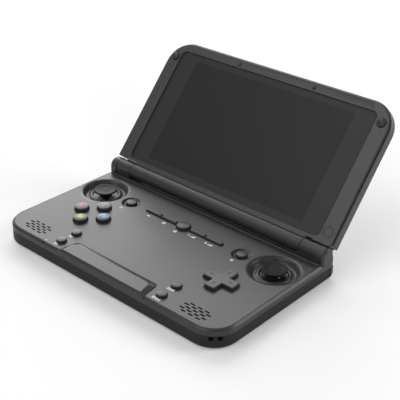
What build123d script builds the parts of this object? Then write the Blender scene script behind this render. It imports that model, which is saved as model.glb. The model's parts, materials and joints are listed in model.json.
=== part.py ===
from build123d import *
import math
import os

# Clamshell handheld game console. Millimetres, +X to the right, +Y to the back, +Z up.
# The origin is on the surface it stands on, under the middle of the object with its lid open.

os.makedirs("parts", exist_ok=True)

# Driving dimensions of the base
case_half_width = 77.0
case_front_reach = 84.4
case_rear_reach = 5.6
case_front_radius = 14.0
case_rear_radius = 1.6
case_wall = 1.6
case_bottom_round = 1.5
edge_groove_inset = 1.25
edge_groove_width = 0.25
rear_lip_width = 0.7
rear_lip_height = 0.35
rear_lip_chamfer = 0.25
deck_height = 11.0
deck_thickness = 1.6
deck_edge_chamfer = 1.1
parting_height = 7.5
foot_radius = 4.0
foot_height = 0.4
foot_recess = 0.4
running_gap = 0.15
fit_gap = 0.02
button_gap = 0.25
plate_gap = 0.3

# Driving dimensions of the hinge
hinge_above_deck = 3.9
barrel_radius = 4.2
knuckle_length = 15.65
seam_gap = 0.3
ear_radius = 4.75
ear_drop = 0.4
ear_width = 5.0
ear_round = 1.6
knuckle_shoulder_height = 0.9
trough_depth = 0.7
trough_gap = 0.4
shaft_radius = 1.5
shaft_length = 24.0
shaft_end_wall = 3.0
sleeve_radius = 2.9
sleeve_length = 9.0
hinge_running_gap = 0.04

# Driving dimensions of the lid
open_angle = 131.04
closed_gap = 1.9
lid_thickness = 9.6
lid_top_reach = 83.6
lid_top_radius = 14.8
lid_end_reach = 5.1
lid_back_round = 3.0
lid_wall = 1.4
bezel_thickness = 1.8
bezel_inset = 0.8
bezel_skin = 0.9
bezel_round = 0.5
lid_low_radius = 1.6
window_side_inset = 9.15
window_rise = 1.36
window_top_inset = 5.94
window_radius = 3.5
glass_overlap = 1.25
glass_low_overlap = 0.6
glass_gap = 0.1
display_side_margin = 8.85
display_low_margin = 0.9
display_high_margin = 0.5
display_thickness = 2.9
lid_rib_width = 1.2
lid_rib_reaches = (24.0, 60.5)
lid_post_radius = 2.3
bumper_inset = 5.5
bumper_top_inset = 10.74
bumper_radius = 2.4
bumper_ring = 0.3
bumper_height = 1.3
bumper_seat = 0.4
nub_x = 25.9
nub_top_inset = 3.94
nub_radius = 0.85
nub_rim = 0.25
nub_height = 0.35
nub_seat = 0.5
cover_cap_inset = 5.2
cover_cap_rise = 5.96
cover_cap_radius = 2.6
cover_cap_thickness = 0.6
cover_cap_gap = 0.2
cable_x = -28.0
cable_width = 12.0
cable_thickness = 0.3
lid_screw_length = 5.0
lid_screw_skin = 0.55
lid_screw_head = 0.6

# Places on the deck, from the side of the case and from the hinge axis towards the front
stick_inset = 15.9
stick_reach = 23.2
side_button_inset = 37.0
side_button_reach = 23.0
key_row_reach = 23.2
face_inset = 31.1
face_reach = 46.8
face_spacing = 8.7
cross_inset = 28.3
cross_reach = 48.9
small_button_inset = 40.9
small_button_front_inset = 7.4
small_button_pitch = 10.2
speaker_inset = 20.7
speaker_front_inset = 8.5

# Buttons
button_flange = 0.7
flange_thickness = 0.7
flange_gap = 0.05
button_crown = 0.22
button_dome = 0.06
face_button_radius = 4.05
face_button_height = 2.2
face_button_travel = 1.0
small_button_radius = 2.6
small_button_height = 1.6
small_button_travel = 0.5
side_button_radius = 3.05
side_button_height = 0.7
side_button_travel = 0.5
side_dish_radius = 5.6
side_dish_depth = 1.0
power_button_radius = 3.95
power_button_height = 1.9
power_button_travel = 0.5
key_inner_x = 4.95
key_split_x = 15.9
key_outer_x = 27.4
key_gap = 0.5
key_width = 2.6
key_height = 1.25
key_round = 0.9
key_travel = 0.5
cross_span = 18.6
cross_arm = 6.1
cross_height = 1.9
cross_round = 0.5
cross_tilt = 3.5
cross_under = 8.6
cross_pivot_height = 7.2
bracket_reach = 3.5
bracket_width = 1.2
leg_reach = 2.7
leg_width = 1.0
rocker_half_width = 1.5
rocker_height = 1.6
cross_edge_round = 0.5
cross_mark_reach = 5.9
cross_mark_length = 2.2
cross_mark_width = 0.3
cross_mark_depth = 0.2

# Analogue sticks
bowl_radius = 14.5
bowl_lip_radius = 9.6
bowl_groove_height = 7.9
bowl_lip_height = 8.7
bowl_inner_lip_height = 8.35
bowl_hole_radius = 7.3
bowl_wall = 1.0
stick_pivot_height = 4.0
stick_cap_radius = 6.5
stick_cap_under_radius = 4.9
stick_cap_height = 0.8
stick_cap_thickness = 1.7
stick_cap_dish = 0.35
stick_dome_radius = 5.0
stick_dome_wall = 0.7
stick_dome_rim = 2.2
stick_stem_radius = 1.6
stick_rod_radius = 1.2
stick_tilt = 12.0
yoke_outer_radius = 2.9
yoke_inner_radius = 1.95
yoke_thickness = 1.5
trunnion_radius = 0.5
trunnion_reach = 6.2
pin_gap = 0.05
housing_radius = 7.0
housing_wall = 0.55
housing_low = 2.1
housing_floor = 0.4
housing_height = 7.9
housing_flange = 15.6
housing_flange_thickness = 1.0
stick_ring_bore = 3.75
stick_ring_thickness = 0.35
stick_ring_rim = 0.2

# Raised front plate
plate_depth = 12.0
plate_back_half_width = 28.7
plate_front_half_width = 30.8
plate_slope = 2.7
plate_rise = 1.3
plate_plug = 1.0
plate_corner = 3.0
plate_front_chamfer = 1.1

# Inside the base
board_height = 4.2
board_thickness = 1.0
membrane_base = 0.5
membrane_gap = 0.08
sheet_reach = 13.2
sheet_strip = 3.5
pad_dome_inset = 2.3
pad_dome_radius = 1.3
key_dome_radius = 0.9
key_dome_spacing = 2.6
battery_half_width = 30.0
battery_front_inset = 14.4
battery_depth = 37.0
battery_thickness = 5.6
speaker_radius = 6.4
speaker_height = 3.0
slot_length = 2.9
slot_width = 0.9
slot_pitch_x = 4.5
slot_pitch_y = 1.7
slot_rows = (3, 4, 3, 4, 3)
screw_side_inset = 7.0
screw_front_inset = 18.4
screw_rear_inset = 16.1
plate_screw_x = 20.5
plate_screw_front_inset = 5.9
screw_shank_radius = 0.9
screw_head_radius = 1.7
screw_head_depth = 1.5
boss_radius = 2.9

board_gap = 0.4
foot_side_inset = 15.0
foot_front_inset = 12.4
foot_rear_inset = 9.6
microphone_x = -27.1
microphone_drop = 2.4
microphone_radius = 0.5
light_inset = 34.3
light_radius = 0.55
light_length = 2.6
strap_angles = (35.5, 53.5)
strap_hole_width = 2.3
strap_hole_low = 5.0
strap_hole_high = 7.2

# Rear sockets and shoulder buttons
socket_row = {"card": -24.0, "hdmi": -2.0, "usb": 16.0, "jack": 32.0}
jack_bore_radius = 1.8
shoulder_low = 2.5
shoulder_high = 6.7
shoulder_outer_length = 18.4
shoulder_inner_length = 14.8
shoulder_spacing = 0.8
shoulder_proud = 0.8
shoulder_depth = 3.2
shoulder_travel = 0.8
shoulder_flange = 0.4
shoulder_flange_depth = 0.65
shoulder_notch_reach = 2.2
switch_width = 5.0
switch_depth = 1.6
plunger_width = 1.8
socket_shell = 0.3
socket_depths = {"card_slot": 15.0, "hdmi_socket": 7.5, "usb_socket": 5.5}
jack_length = 11.0

# Worked out from the driving dimensions
seam_half_width = case_half_width - knuckle_length
stick_x = case_half_width - stick_inset
side_button_x = case_half_width - side_button_inset
face_x = case_half_width - face_inset
cross_x = case_half_width - cross_inset
small_button_x = case_half_width - small_button_inset
speaker_x = case_half_width - speaker_inset
light_x = light_inset - case_half_width
bumper_x = case_half_width - bumper_inset
cover_cap_x = case_half_width - cover_cap_inset
window_half_width = case_half_width - window_side_inset
window_low_reach = lid_end_reach + window_rise
window_high_reach = lid_top_reach - window_top_inset
display_half_width = window_half_width - display_side_margin
display_low_reach = window_low_reach + display_low_margin
display_high_reach = window_high_reach - display_high_margin
cover_cap_reach = lid_end_reach + cover_cap_rise
bumper_reach = lid_top_reach - bumper_top_inset
nub_reach = lid_top_reach - nub_top_inset
microphone_z = deck_height - microphone_drop
hinge_z = deck_height + hinge_above_deck
bezel_offset = hinge_above_deck - closed_gap
lid_back_offset = bezel_offset - lid_thickness
rise = math.radians(180.0 - open_angle)
lid_rear_reach = (
    (lid_top_reach - lid_back_round) * math.cos(rise)
    - (lid_back_offset + lid_back_round) * math.sin(rise)
    + lid_back_round
)
hinge_y = (case_front_reach - lid_rear_reach) / 2
front_y = hinge_y - case_front_reach
rear_y = hinge_y + case_rear_reach
case_low = foot_height
floor_height = case_low + case_wall
deck_under = deck_height - deck_thickness
board_top = board_height + board_thickness
flange_top = deck_under - flange_gap
flange_bottom = flange_top - flange_thickness
knuckle_x = seam_half_width + seam_gap / 2
barrel_x = seam_half_width - seam_gap / 2
trough_floor = deck_height - trough_depth
trough_front_y = hinge_y - barrel_radius - trough_gap
glass_offset = bezel_offset - bezel_skin
cover_offset = bezel_offset - bezel_thickness
glass_low_edge = window_low_reach - glass_low_overlap
glass_high_edge = window_high_reach + glass_overlap
stick_y = hinge_y - stick_reach
key_y = hinge_y - key_row_reach
face_y = hinge_y - face_reach
cross_y = hinge_y - cross_reach
speaker_y = front_y + speaker_front_inset
plate_back_y = front_y + plate_depth
small_button_y = front_y + small_button_front_inset
battery_front_y = front_y + battery_front_inset
battery_back_y = battery_front_y + battery_depth

lid_front = Plane(
    origin=(0, hinge_y, hinge_z),
    x_dir=(1, 0, 0),
    z_dir=(0, -math.sin(rise), math.cos(rise)),
)
lid_side = Plane(
    origin=(0, hinge_y, hinge_z),
    x_dir=(0, math.cos(rise), math.sin(rise)),
    z_dir=(1, 0, 0),
)


def upright(x, y):
    """Plane through a vertical axis: local x is the radius, local y is the height."""
    return Plane(origin=(x, y, 0), x_dir=(1, 0, 0), z_dir=(0, -1, 0))


def vertical_axis(x, y):
    return Axis((x, y, 0), (0, 0, 1))


def outline(half_width, y_front, y_rear, front_radius, rear_radius):
    """Plan of the case: a rectangle with large front corners and small rear ones."""
    with BuildSketch() as plan:
        with Locations((0, (y_front + y_rear) / 2)):
            Rectangle(2 * half_width, y_rear - y_front)
        fillet(plan.vertices().group_by(Axis.Y)[0], front_radius)
        fillet(plan.vertices().group_by(Axis.Y)[-1], rear_radius)
    return plan.sketch


def case_outline(inset):
    return outline(
        case_half_width - inset,
        front_y + inset,
        rear_y - inset,
        case_front_radius - inset,
        max(case_rear_radius - inset, 0.4),
    )


def lid_outline(inset, low):
    """Face of a lid shell, in the lid's own plane, with large top corners."""
    half_width = case_half_width - inset
    high = lid_top_reach - inset
    with BuildSketch() as face:
        with Locations((0, (low + high) / 2)):
            Rectangle(2 * half_width, high - low)
        fillet(face.vertices().group_by(Axis.Y)[-1], lid_top_radius - inset)
    return face.sketch


def low_corners(inset):
    """What is cut off the two lower corners of a lid shell to round them."""
    radius = lid_low_radius - inset
    half_width = case_half_width - inset
    with BuildSketch() as corners:
        with Locations(*((side * half_width, lid_end_reach) for side in (-1, 1))):
            Rectangle(2 * radius, 2 * radius)
        with Locations(*((side * (half_width - radius), lid_end_reach + radius) for side in (-1, 1))):
            Circle(radius, mode=Mode.SUBTRACT)
    return corners.sketch


def barrel_profile(radius, centre_z, foot_z, front_reach):
    """Side view of a hinge knuckle: round top, upright front, sloped back down to the rear wall."""
    shoulder_z = deck_height + knuckle_shoulder_height
    reach = math.hypot(case_rear_reach, centre_z - shoulder_z)
    lean = math.atan2(shoulder_z - centre_z, case_rear_reach) + math.acos(radius / reach)
    touch = (hinge_y + radius * math.cos(lean), centre_z + radius * math.sin(lean))
    with BuildSketch() as profile:
        with BuildLine():
            Polyline(
                touch,
                (rear_y, shoulder_z),
                (rear_y, foot_z),
                (hinge_y - front_reach, foot_z),
                (hinge_y - front_reach, centre_z),
            )
            ThreePointArc(
                (hinge_y - front_reach, centre_z),
                (hinge_y - radius * math.sin(math.pi / 4), centre_z + radius * math.sin(math.pi / 4)),
                touch,
            )
        make_face()
    return profile.sketch


case_plan = case_outline(0)
inner_plan = case_outline(case_wall)
knuckle_face = barrel_profile(barrel_radius, hinge_z, trough_floor - 0.3, barrel_radius)
ear_face = barrel_profile(ear_radius, hinge_z - ear_drop, trough_floor - 0.3, ear_radius)
cover_face = lid_outline(0, lid_end_reach)
cover_inner_face = lid_outline(lid_wall, lid_end_reach + lid_wall)
bezel_face = lid_outline(bezel_inset, lid_end_reach)
cover_corner_cuts = low_corners(0)
bezel_corner_cuts = low_corners(bezel_inset)
side_screw_x = case_half_width - screw_side_inset
screw_points = [
    (side * x, y)
    for x, y in (
        (side_screw_x, front_y + screw_front_inset),
        (side_screw_x, rear_y - screw_rear_inset),
        (plate_screw_x, front_y + plate_screw_front_inset),
    )
    for side in (-1, 1)
]


def slot_points(x):
    """Centres of the speaker slots: five rows, every other one shifted by half a pitch."""
    points = []
    for row, count in enumerate(slot_rows):
        y = speaker_y + (row - (len(slot_rows) - 1) / 2) * slot_pitch_y
        points += [(x + (i - (count - 1) / 2) * slot_pitch_x, y) for i in range(count)]
    return points


def plate_outline(inset, front):
    """Plan of the raised front plate, wider at the front, with rounded back corners."""
    back_y = plate_back_y - inset
    with BuildSketch() as plan:
        with BuildLine():
            Polyline(
                (-plate_back_half_width + inset, back_y),
                (plate_back_half_width - inset, back_y),
                (plate_front_half_width - inset, front),
                (-plate_front_half_width + inset, front),
                close=True,
            )
        make_face()
        fillet(plan.vertices().group_by(Axis.Y)[-1], plate_corner)
    return plan.sketch


plate_foot_plan = plate_outline(0, front_y)
plate_pocket_plan = plate_outline(-plate_gap, front_y - 1)
plate_top_plan = plate_outline(plate_slope, front_y)


def key_span(side, inner):
    """Ends of a centre key along X, from the middle outwards."""
    if inner:
        return side * key_inner_x, side * (key_split_x - key_gap / 2)
    return side * (key_split_x + key_gap / 2), side * key_outer_x


def key_plan(side, inner, grow):
    """Plan of a centre key: a bar, with a round outer end on the outer ones."""
    near, far = key_span(side, inner)
    with BuildSketch() as plan:
        with Locations(((near + far) / 2, key_y)):
            Rectangle(abs(far - near) + 2 * grow, key_width + 2 * grow)
        if not inner:
            ends = plan.vertices().sort_by(Axis.X)
            fillet(ends[2:] if side > 0 else ends[:2], key_width / 2 + grow - 0.05)
    return plan.sketch


def cross_plan(grow):
    with BuildSketch() as plan:
        with Locations((cross_x, cross_y)):
            Rectangle(cross_span + 2 * grow, cross_arm + 2 * grow)
            Rectangle(cross_arm + 2 * grow, cross_span + 2 * grow)
        fillet(plan.vertices(), cross_round)
    return plan.sketch


key_slot_plans = []
for key_side in (-1, 1):
    with BuildSketch() as key_slot:
        slot_mid = key_side * (key_inner_x + key_outer_x) / 2
        with Locations((slot_mid, key_y)):
            Rectangle(key_outer_x - key_inner_x + 2 * button_gap, key_width + 2 * button_gap)
        slot_ends = key_slot.vertices().sort_by(Axis.X)
        fillet(slot_ends[2:] if key_side > 0 else slot_ends[:2], key_width / 2)
    key_slot_plans.append(key_slot.sketch)

cross_hole_plan = cross_plan(2 * running_gap)

# Places of the rows of round buttons: name, x, y, radius, height above the deck, travel
round_buttons = {
    "face_button_left": (-face_x - face_spacing, face_y, face_button_radius, face_button_height),
    "face_button_right": (-face_x + face_spacing, face_y, face_button_radius, face_button_height),
    "face_button_upper": (-face_x, face_y + face_spacing, face_button_radius, face_button_height),
    "face_button_lower": (-face_x, face_y - face_spacing, face_button_radius, face_button_height),
    "power_button": (0, key_y, power_button_radius, power_button_height),
    "stick_side_button_left": (
        -side_button_x, hinge_y - side_button_reach, side_button_radius, side_button_height
    ),
    "stick_side_button_right": (
        side_button_x, hinge_y - side_button_reach, side_button_radius, side_button_height
    ),
}
for side_name, side in (("left", -1), ("right", 1)):
    for place_name, y in (("upper", small_button_y + small_button_pitch), ("lower", small_button_y)):
        round_buttons[f"small_button_{side_name}_{place_name}"] = (
            side * small_button_x, y, small_button_radius, small_button_height
        )

travels = {
    name: face_button_travel if name.startswith("face") else
    small_button_travel if name.startswith("small") else
    side_button_travel if name.startswith("stick") else power_button_travel
    for name in round_buttons
}

# Socket openings in the rear wall: x, width, low and high edge of the socket's mouth
socket_mouths = {
    "card_slot": (socket_row["card"], 11.6, board_top + 0.3, board_top + 1.5),
    "hdmi_socket": (socket_row["hdmi"], 10.6, board_top + 0.3, board_top + 2.9),
    "usb_socket": (socket_row["usb"], 7.6, board_top + 0.3, board_top + 2.7),
}
jack_z = board_top + jack_bore_radius + 0.2
shoulder_outer_x = case_half_width - shoulder_outer_length
shoulder_inner_far = shoulder_outer_x - shoulder_spacing
shoulder_spans = {
    "inner": (shoulder_inner_far - shoulder_inner_length, shoulder_inner_far),
    "outer": (shoulder_outer_x, case_half_width),
}


groove_outer_plan = case_outline(edge_groove_inset)
groove_inner_plan = case_outline(edge_groove_inset + edge_groove_width)
board_plan = case_outline(case_wall + board_gap)
foot_x = case_half_width - foot_side_inset
foot_points = [
    (side * foot_x, y) for y in (front_y + foot_front_inset, rear_y - foot_rear_inset) for side in (-1, 1)
]
switch_places = [side * (near + far) / 2 for near, far in shoulder_spans.values() for side in (-1, 1)]
rear_plane = Plane(origin=(0, rear_y + 1, 0), x_dir=(1, 0, 0), z_dir=(0, -1, 0))
light_plane = Plane(
    origin=(light_x, front_y + deck_edge_chamfer / 2, deck_height - deck_edge_chamfer / 2),
    x_dir=(1, 0, 0),
    z_dir=(0, 1, -1),
)

with BuildSketch() as rear_cuts:
    for x, width, low, high in socket_mouths.values():
        with Locations((x, (low + high) / 2)):
            Rectangle(width + 2 * socket_shell, high - low + 2 * socket_shell)
    with Locations((socket_row["jack"], jack_z)):
        Circle(jack_bore_radius + running_gap)
socket_openings = rear_cuts.sketch

with BuildSketch() as shoulder_cuts:
    for near, far in shoulder_spans.values():
        reach = far + running_gap if far < case_half_width else far + 1
        for side in (-1, 1):
            with Locations((side * (near - running_gap + reach) / 2, (shoulder_low + shoulder_high) / 2)):
                Rectangle(reach - near + running_gap, shoulder_high - shoulder_low + 2 * running_gap)
shoulder_openings = shoulder_cuts.sketch


def dome_top(travel, lowest=flange_bottom):
    return lowest - travel - membrane_gap


# Each sheet: its blocks (x and y limits) and its domes (x, y, radius, top)
membranes = []
for side_name, side in (("left", -1), ("right", 1)):
    pad_x, pad_y = (face_x, face_y) if side < 0 else (cross_x, cross_y)
    small_x = small_button_x
    side_y = hinge_y - side_button_reach
    blocks = [
        (pad_x - sheet_reach, pad_x + sheet_reach, pad_y - sheet_reach, pad_y + sheet_reach),
        (small_x - sheet_strip, small_x + sheet_strip, small_button_y - sheet_strip, pad_y),
        (side_button_x - sheet_strip, side_button_x + sheet_strip, pad_y, side_y + sheet_strip),
    ]
    if side < 0:
        blocks = [(-high, -low, y_low, y_high) for low, high, y_low, y_high in blocks]
    domes = [
        (x, y, 0.5 * radius, dome_top(travels[name]))
        for name, (x, y, radius, _) in round_buttons.items()
        if x * side > 0
    ]
    if side > 0:
        pad_dome = cross_span / 2 - pad_dome_inset
        low = cross_under - cross_span / 2 * math.sin(math.radians(cross_tilt)) - membrane_gap
        for dx, dy in ((pad_dome, 0), (-pad_dome, 0), (0, pad_dome), (0, -pad_dome)):
            domes.append((cross_x + dx, cross_y + dy, pad_dome_radius, low))
    membranes.append((f"membrane_{side_name}", blocks, domes))
key_domes = [
    (sum(key_span(side, inner)) / 2 + dx, key_y, key_dome_radius, dome_top(key_travel))
    for side in (-1, 1)
    for inner in (True, False)
    for dx in (-key_dome_spacing, key_dome_spacing)
]
power_dome = (0, key_y, 0.5 * power_button_radius, dome_top(power_button_travel))
centre_block = (
    -key_outer_x - button_flange, key_outer_x + button_flange, key_y - sheet_strip, key_y + sheet_strip
)
membranes.append(("membrane_centre", [centre_block], key_domes + [power_dome]))


key_plans = {
    (side, inner): key_plan(side, inner, 0) for side in (-1, 1) for inner in (True, False)
}
cross_face_plan = cross_plan(0)
display_back_offset = cover_offset - display_thickness
cable_offset = display_back_offset - cable_thickness / 2
cable_slot_end = lid_end_reach + lid_wall + 1.5
lid_axis = Axis((0, hinge_y, hinge_z), lid_front.z_dir)
lid_up_axis = Axis((0, hinge_y, hinge_z), lid_front.y_dir)
cover_cap_points = [(-cover_cap_x, cover_cap_reach), (cover_cap_x, cover_cap_reach)]
bumper_points = [(-bumper_x, bumper_reach), (bumper_x, bumper_reach)]
nub_points = [(-nub_x, nub_reach), (nub_x, nub_reach)]
lid_screw_points = cover_cap_points + bumper_points
lid_screw_seat_offset = cover_offset + lid_screw_skin

with BuildSketch() as window_sketch:
    with Locations((0, (window_low_reach + window_high_reach) / 2)):
        RectangleRounded(2 * window_half_width, window_high_reach - window_low_reach, window_radius)
window_face = window_sketch.sketch


def glass_outline(grow):
    low = glass_low_edge - grow
    high = glass_high_edge + grow
    with BuildSketch() as face:
        with Locations((0, (low + high) / 2)):
            RectangleRounded(2 * (window_half_width + glass_overlap + grow), high - low, window_radius)
    return face.sketch


glass_face = glass_outline(0)
glass_pocket_face = glass_outline(glass_gap)


def stand_plane(x, reach):
    """Plane through an axis square to the lid: local x is the radius, local y runs out of it."""
    return Plane(
        origin=lid_front.from_local_coords(Vector(x, reach, 0)),
        x_dir=(1, 0, 0),
        z_dir=lid_front.y_dir * -1,
    )


def stand_axis(x, reach):
    return Axis(lid_front.from_local_coords(Vector(x, reach, 0)), lid_front.z_dir)


# Hinge knuckles, which are moulded in one with the deck case
with BuildPart() as knuckles:
    with BuildSketch(Plane.YZ.offset(case_half_width - ear_width)):
        add(ear_face)
    extrude(amount=ear_width)
    ear_end = knuckles.faces().sort_by(Axis.X)[-1]
    fillet(ear_end.edges().sort_by(Axis.Z)[1:], ear_round)
    with BuildSketch(Plane.YZ.offset(knuckle_x)):
        add(knuckle_face)
    extrude(amount=case_half_width - ear_width - knuckle_x)
    with BuildSketch(Plane.YZ.offset(knuckle_x - 1)):
        with Locations((hinge_y, hinge_z)):
            Circle(shaft_radius + fit_gap)
    extrude(amount=case_half_width - shaft_end_wall - knuckle_x + 1, mode=Mode.SUBTRACT)
    mirror(about=Plane.YZ)

# Top half of the base: deck, upper walls, stick bowls, button openings and knuckles
with BuildPart() as deck_case:
    with BuildSketch(Plane.XY.offset(parting_height)):
        add(case_plan)
    extrude(amount=deck_height - parting_height)
    top_edges = deck_case.faces().sort_by(Axis.Z)[-1].edges()
    rear_band = hinge_y + case_rear_reach - case_rear_radius - 0.2
    chamfer(top_edges.filter_by(lambda e: e.center().Y < rear_band), deck_edge_chamfer)
    with BuildSketch(Plane.XY.offset(parting_height)):
        add(inner_plan)
    extrude(amount=deck_under - parting_height, mode=Mode.SUBTRACT)
    # Trough behind the deck, in which the barrel turns
    with BuildSketch(Plane.XY.offset(trough_floor)):
        with Locations((0, (trough_front_y + rear_y + 1) / 2)):
            Rectangle(2 * (case_half_width - deck_edge_chamfer - 0.3), rear_y + 1 - trough_front_y)
    extrude(amount=trough_depth, mode=Mode.SUBTRACT)
    # Raised lip along the front of the trough
    with BuildSketch(Plane.YZ.offset(deck_edge_chamfer + 0.3 - case_half_width)):
        with BuildLine():
            Polyline(
                (trough_front_y, deck_height - 0.2),
                (trough_front_y, deck_height + rear_lip_height),
                (trough_front_y - rear_lip_width + rear_lip_chamfer, deck_height + rear_lip_height),
                (trough_front_y - rear_lip_width, deck_height + rear_lip_height - rear_lip_chamfer),
                (trough_front_y - rear_lip_width, deck_height - 0.2),
                close=True,
            )
        make_face()
    extrude(amount=2 * (case_half_width - deck_edge_chamfer - 0.3))
    add(knuckles.part)
    # Posts that the case screws hold
    with BuildSketch(Plane.XY.offset(board_top)):
        with Locations(*screw_points):
            Circle(boss_radius - 0.4)
    extrude(amount=deck_height - 0.7 - board_top)
    # Bowls round the two sticks
    for side in (-1, 1):
        centre = (side * stick_x, stick_y)
        with BuildSketch(Plane.XY.offset(bowl_groove_height - bowl_wall)):
            with Locations(centre):
                Circle(bowl_radius - 1.4)
        extrude(amount=deck_under - bowl_groove_height + bowl_wall)
        with BuildSketch(upright(*centre)):
            with BuildLine():
                groove_radius = bowl_lip_radius + 0.5
                Spline(
                    (bowl_radius, deck_height),
                    (bowl_radius - 2.2, deck_height - 1.1),
                    (groove_radius, bowl_groove_height),
                    tangents=((-1, 0), (-1, 0)),
                )
                Spline(
                    (groove_radius, bowl_groove_height),
                    ((bowl_lip_radius + bowl_hole_radius) / 2, bowl_lip_height),
                    (bowl_hole_radius, bowl_inner_lip_height),
                    tangents=((-1, 0), (-0.5, -1)),
                )
                Polyline(
                    (bowl_hole_radius, bowl_inner_lip_height),
                    (bowl_hole_radius, parting_height - 3),
                    (0, parting_height - 3),
                    (0, deck_height + 1),
                    (bowl_radius, deck_height + 1),
                    (bowl_radius, deck_height),
                )
            make_face()
        revolve(axis=vertical_axis(*centre), mode=Mode.SUBTRACT)
    # Dishes round the two side buttons
    for side in (-1, 1):
        centre = (side * side_button_x, hinge_y - side_button_reach)
        with BuildSketch(upright(*centre)):
            with BuildLine():
                Polyline(
                    (0, deck_height + 0.5),
                    (side_dish_radius, deck_height + 0.5),
                    (side_dish_radius, deck_height),
                    (side_button_radius + 0.9, deck_height - side_dish_depth),
                    (0, deck_height - side_dish_depth),
                    close=True,
                )
            make_face()
        revolve(axis=vertical_axis(*centre), mode=Mode.SUBTRACT)
    # Button openings and speaker slots
    with BuildSketch(Plane.XY.offset(deck_under - 1)):
        for x, y, radius, _ in round_buttons.values():
            with Locations((x, y)):
                Circle(radius + button_gap)
        for slot_plan in key_slot_plans:
            add(slot_plan)
        add(cross_hole_plan)
        with Locations(*slot_points(-speaker_x), *slot_points(speaker_x)):
            SlotOverall(slot_length, slot_width)
    extrude(amount=deck_thickness + 2, mode=Mode.SUBTRACT)
    # Pocket for the raised front plate
    with BuildSketch(Plane.XY.offset(deck_height - plate_plug)):
        add(plate_pocket_plan)
    extrude(amount=plate_plug + 1, mode=Mode.SUBTRACT)
    # Screw pilots
    with BuildSketch(Plane.XY.offset(board_top - 0.5)):
        with Locations(*screw_points):
            Circle(screw_shank_radius + fit_gap)
    extrude(amount=deck_height - 2.2 - board_top + 0.5, mode=Mode.SUBTRACT)
    # Fine groove that runs round the deck just inside its edge
    with BuildSketch(Plane.XY.offset(deck_height - edge_groove_width)):
        add(groove_outer_plan)
        add(groove_inner_plan, mode=Mode.SUBTRACT)
        with Locations((0, trough_front_y - edge_groove_inset + case_rear_reach * 2)):
            Rectangle(3 * case_half_width, case_rear_reach * 4, mode=Mode.SUBTRACT)
    extrude(amount=edge_groove_width + 1, mode=Mode.SUBTRACT)
    # Openings in the rear wall, the microphone hole and the status light's hole
    with BuildSketch(rear_plane):
        add(socket_openings)
    extrude(amount=case_wall + 1.5, mode=Mode.SUBTRACT)
    with BuildSketch(Plane(origin=(microphone_x, front_y - 1, microphone_z), z_dir=(0, 1, 0))):
        Circle(microphone_radius)
    extrude(amount=case_wall + 1.5, mode=Mode.SUBTRACT)
    with BuildSketch(light_plane.offset(-1)):
        Circle(light_radius + fit_gap)
    extrude(amount=light_length + 1, mode=Mode.SUBTRACT)
deck_case.part.label = "deck_case"
export_step(deck_case.part, "parts/deck_case.step")

# Bottom half of the base: tray with screw bosses, foot recesses and rear openings
with BuildPart() as bottom_case:
    with BuildSketch(Plane.XY.offset(case_low)):
        add(case_plan)
    extrude(amount=parting_height - case_low)
    fillet(bottom_case.faces().sort_by(Axis.Z)[0].edges(), case_bottom_round)
    with BuildSketch(Plane.XY.offset(floor_height)):
        add(inner_plan)
    extrude(amount=parting_height - floor_height, mode=Mode.SUBTRACT)
    with BuildSketch(Plane.XY.offset(floor_height)):
        with Locations(*screw_points):
            Circle(boss_radius)
    extrude(amount=board_height - floor_height)
    with BuildSketch(Plane.XY.offset(case_low)):
        with Locations(*screw_points):
            Circle(screw_head_radius + running_gap)
    extrude(amount=screw_head_depth + foot_recess / 4, mode=Mode.SUBTRACT)
    with BuildSketch(Plane.XY.offset(case_low)):
        with Locations(*screw_points):
            Circle(screw_shank_radius + running_gap)
    extrude(amount=board_height - case_low, mode=Mode.SUBTRACT)
    with BuildSketch(Plane.XY.offset(case_low)):
        with Locations(*foot_points):
            Circle(foot_radius + running_gap)
    extrude(amount=foot_recess, mode=Mode.SUBTRACT)
    with BuildSketch(rear_plane):
        add(socket_openings)
        add(shoulder_openings)
    extrude(amount=1 + case_rear_reach - shoulder_notch_reach, mode=Mode.SUBTRACT)
    for angle in strap_angles:
        lean = math.radians(angle)
        outward = (math.sin(lean), -math.cos(lean), 0)
        hole_plane = Plane(
            origin=(
                case_half_width - case_front_radius + outward[0] * (case_front_radius + 1),
                front_y + case_front_radius + outward[1] * (case_front_radius + 1),
                (strap_hole_low + strap_hole_high) / 2,
            ),
            x_dir=(math.cos(lean), math.sin(lean), 0),
            z_dir=outward,
        )
        with BuildSketch(hole_plane):
            RectangleRounded(strap_hole_width, strap_hole_high - strap_hole_low, 0.5)
        extrude(amount=-(case_wall + 2), mode=Mode.SUBTRACT)
bottom_case.part.label = "bottom_case"
export_step(bottom_case.part, "parts/bottom_case.step")

# Raised plate at the front of the deck: sloped at the back and the sides, chamfered in front
with BuildPart() as front_plate:
    with BuildSketch(Plane.XY.offset(deck_height - plate_plug)):
        add(plate_foot_plan)
    extrude(amount=plate_plug)
    with BuildSketch(Plane.XY.offset(deck_height)):
        add(plate_foot_plan)
    with BuildSketch(Plane.XY.offset(deck_height + plate_rise)):
        add(plate_top_plan)
    loft(ruled=True)
    top_face = front_plate.faces().sort_by(Axis.Z)[-1]
    chamfer(top_face.edges().sort_by(Axis.Y)[0], plate_front_chamfer)
front_plate.part.label = "front_plate"
export_step(front_plate.part, "parts/front_plate.step")

# Rubber feet, in their recesses
with BuildPart() as rubber_feet:
    with BuildSketch():
        with Locations(*foot_points):
            Circle(foot_radius)
    extrude(amount=case_low + foot_recess)
    fillet(rubber_feet.faces().group_by(Axis.Z)[0].edges(), 0.3)
rubber_feet.part.label = "rubber_feet"
export_step(rubber_feet.part, "parts/rubber_feet.step")

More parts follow.
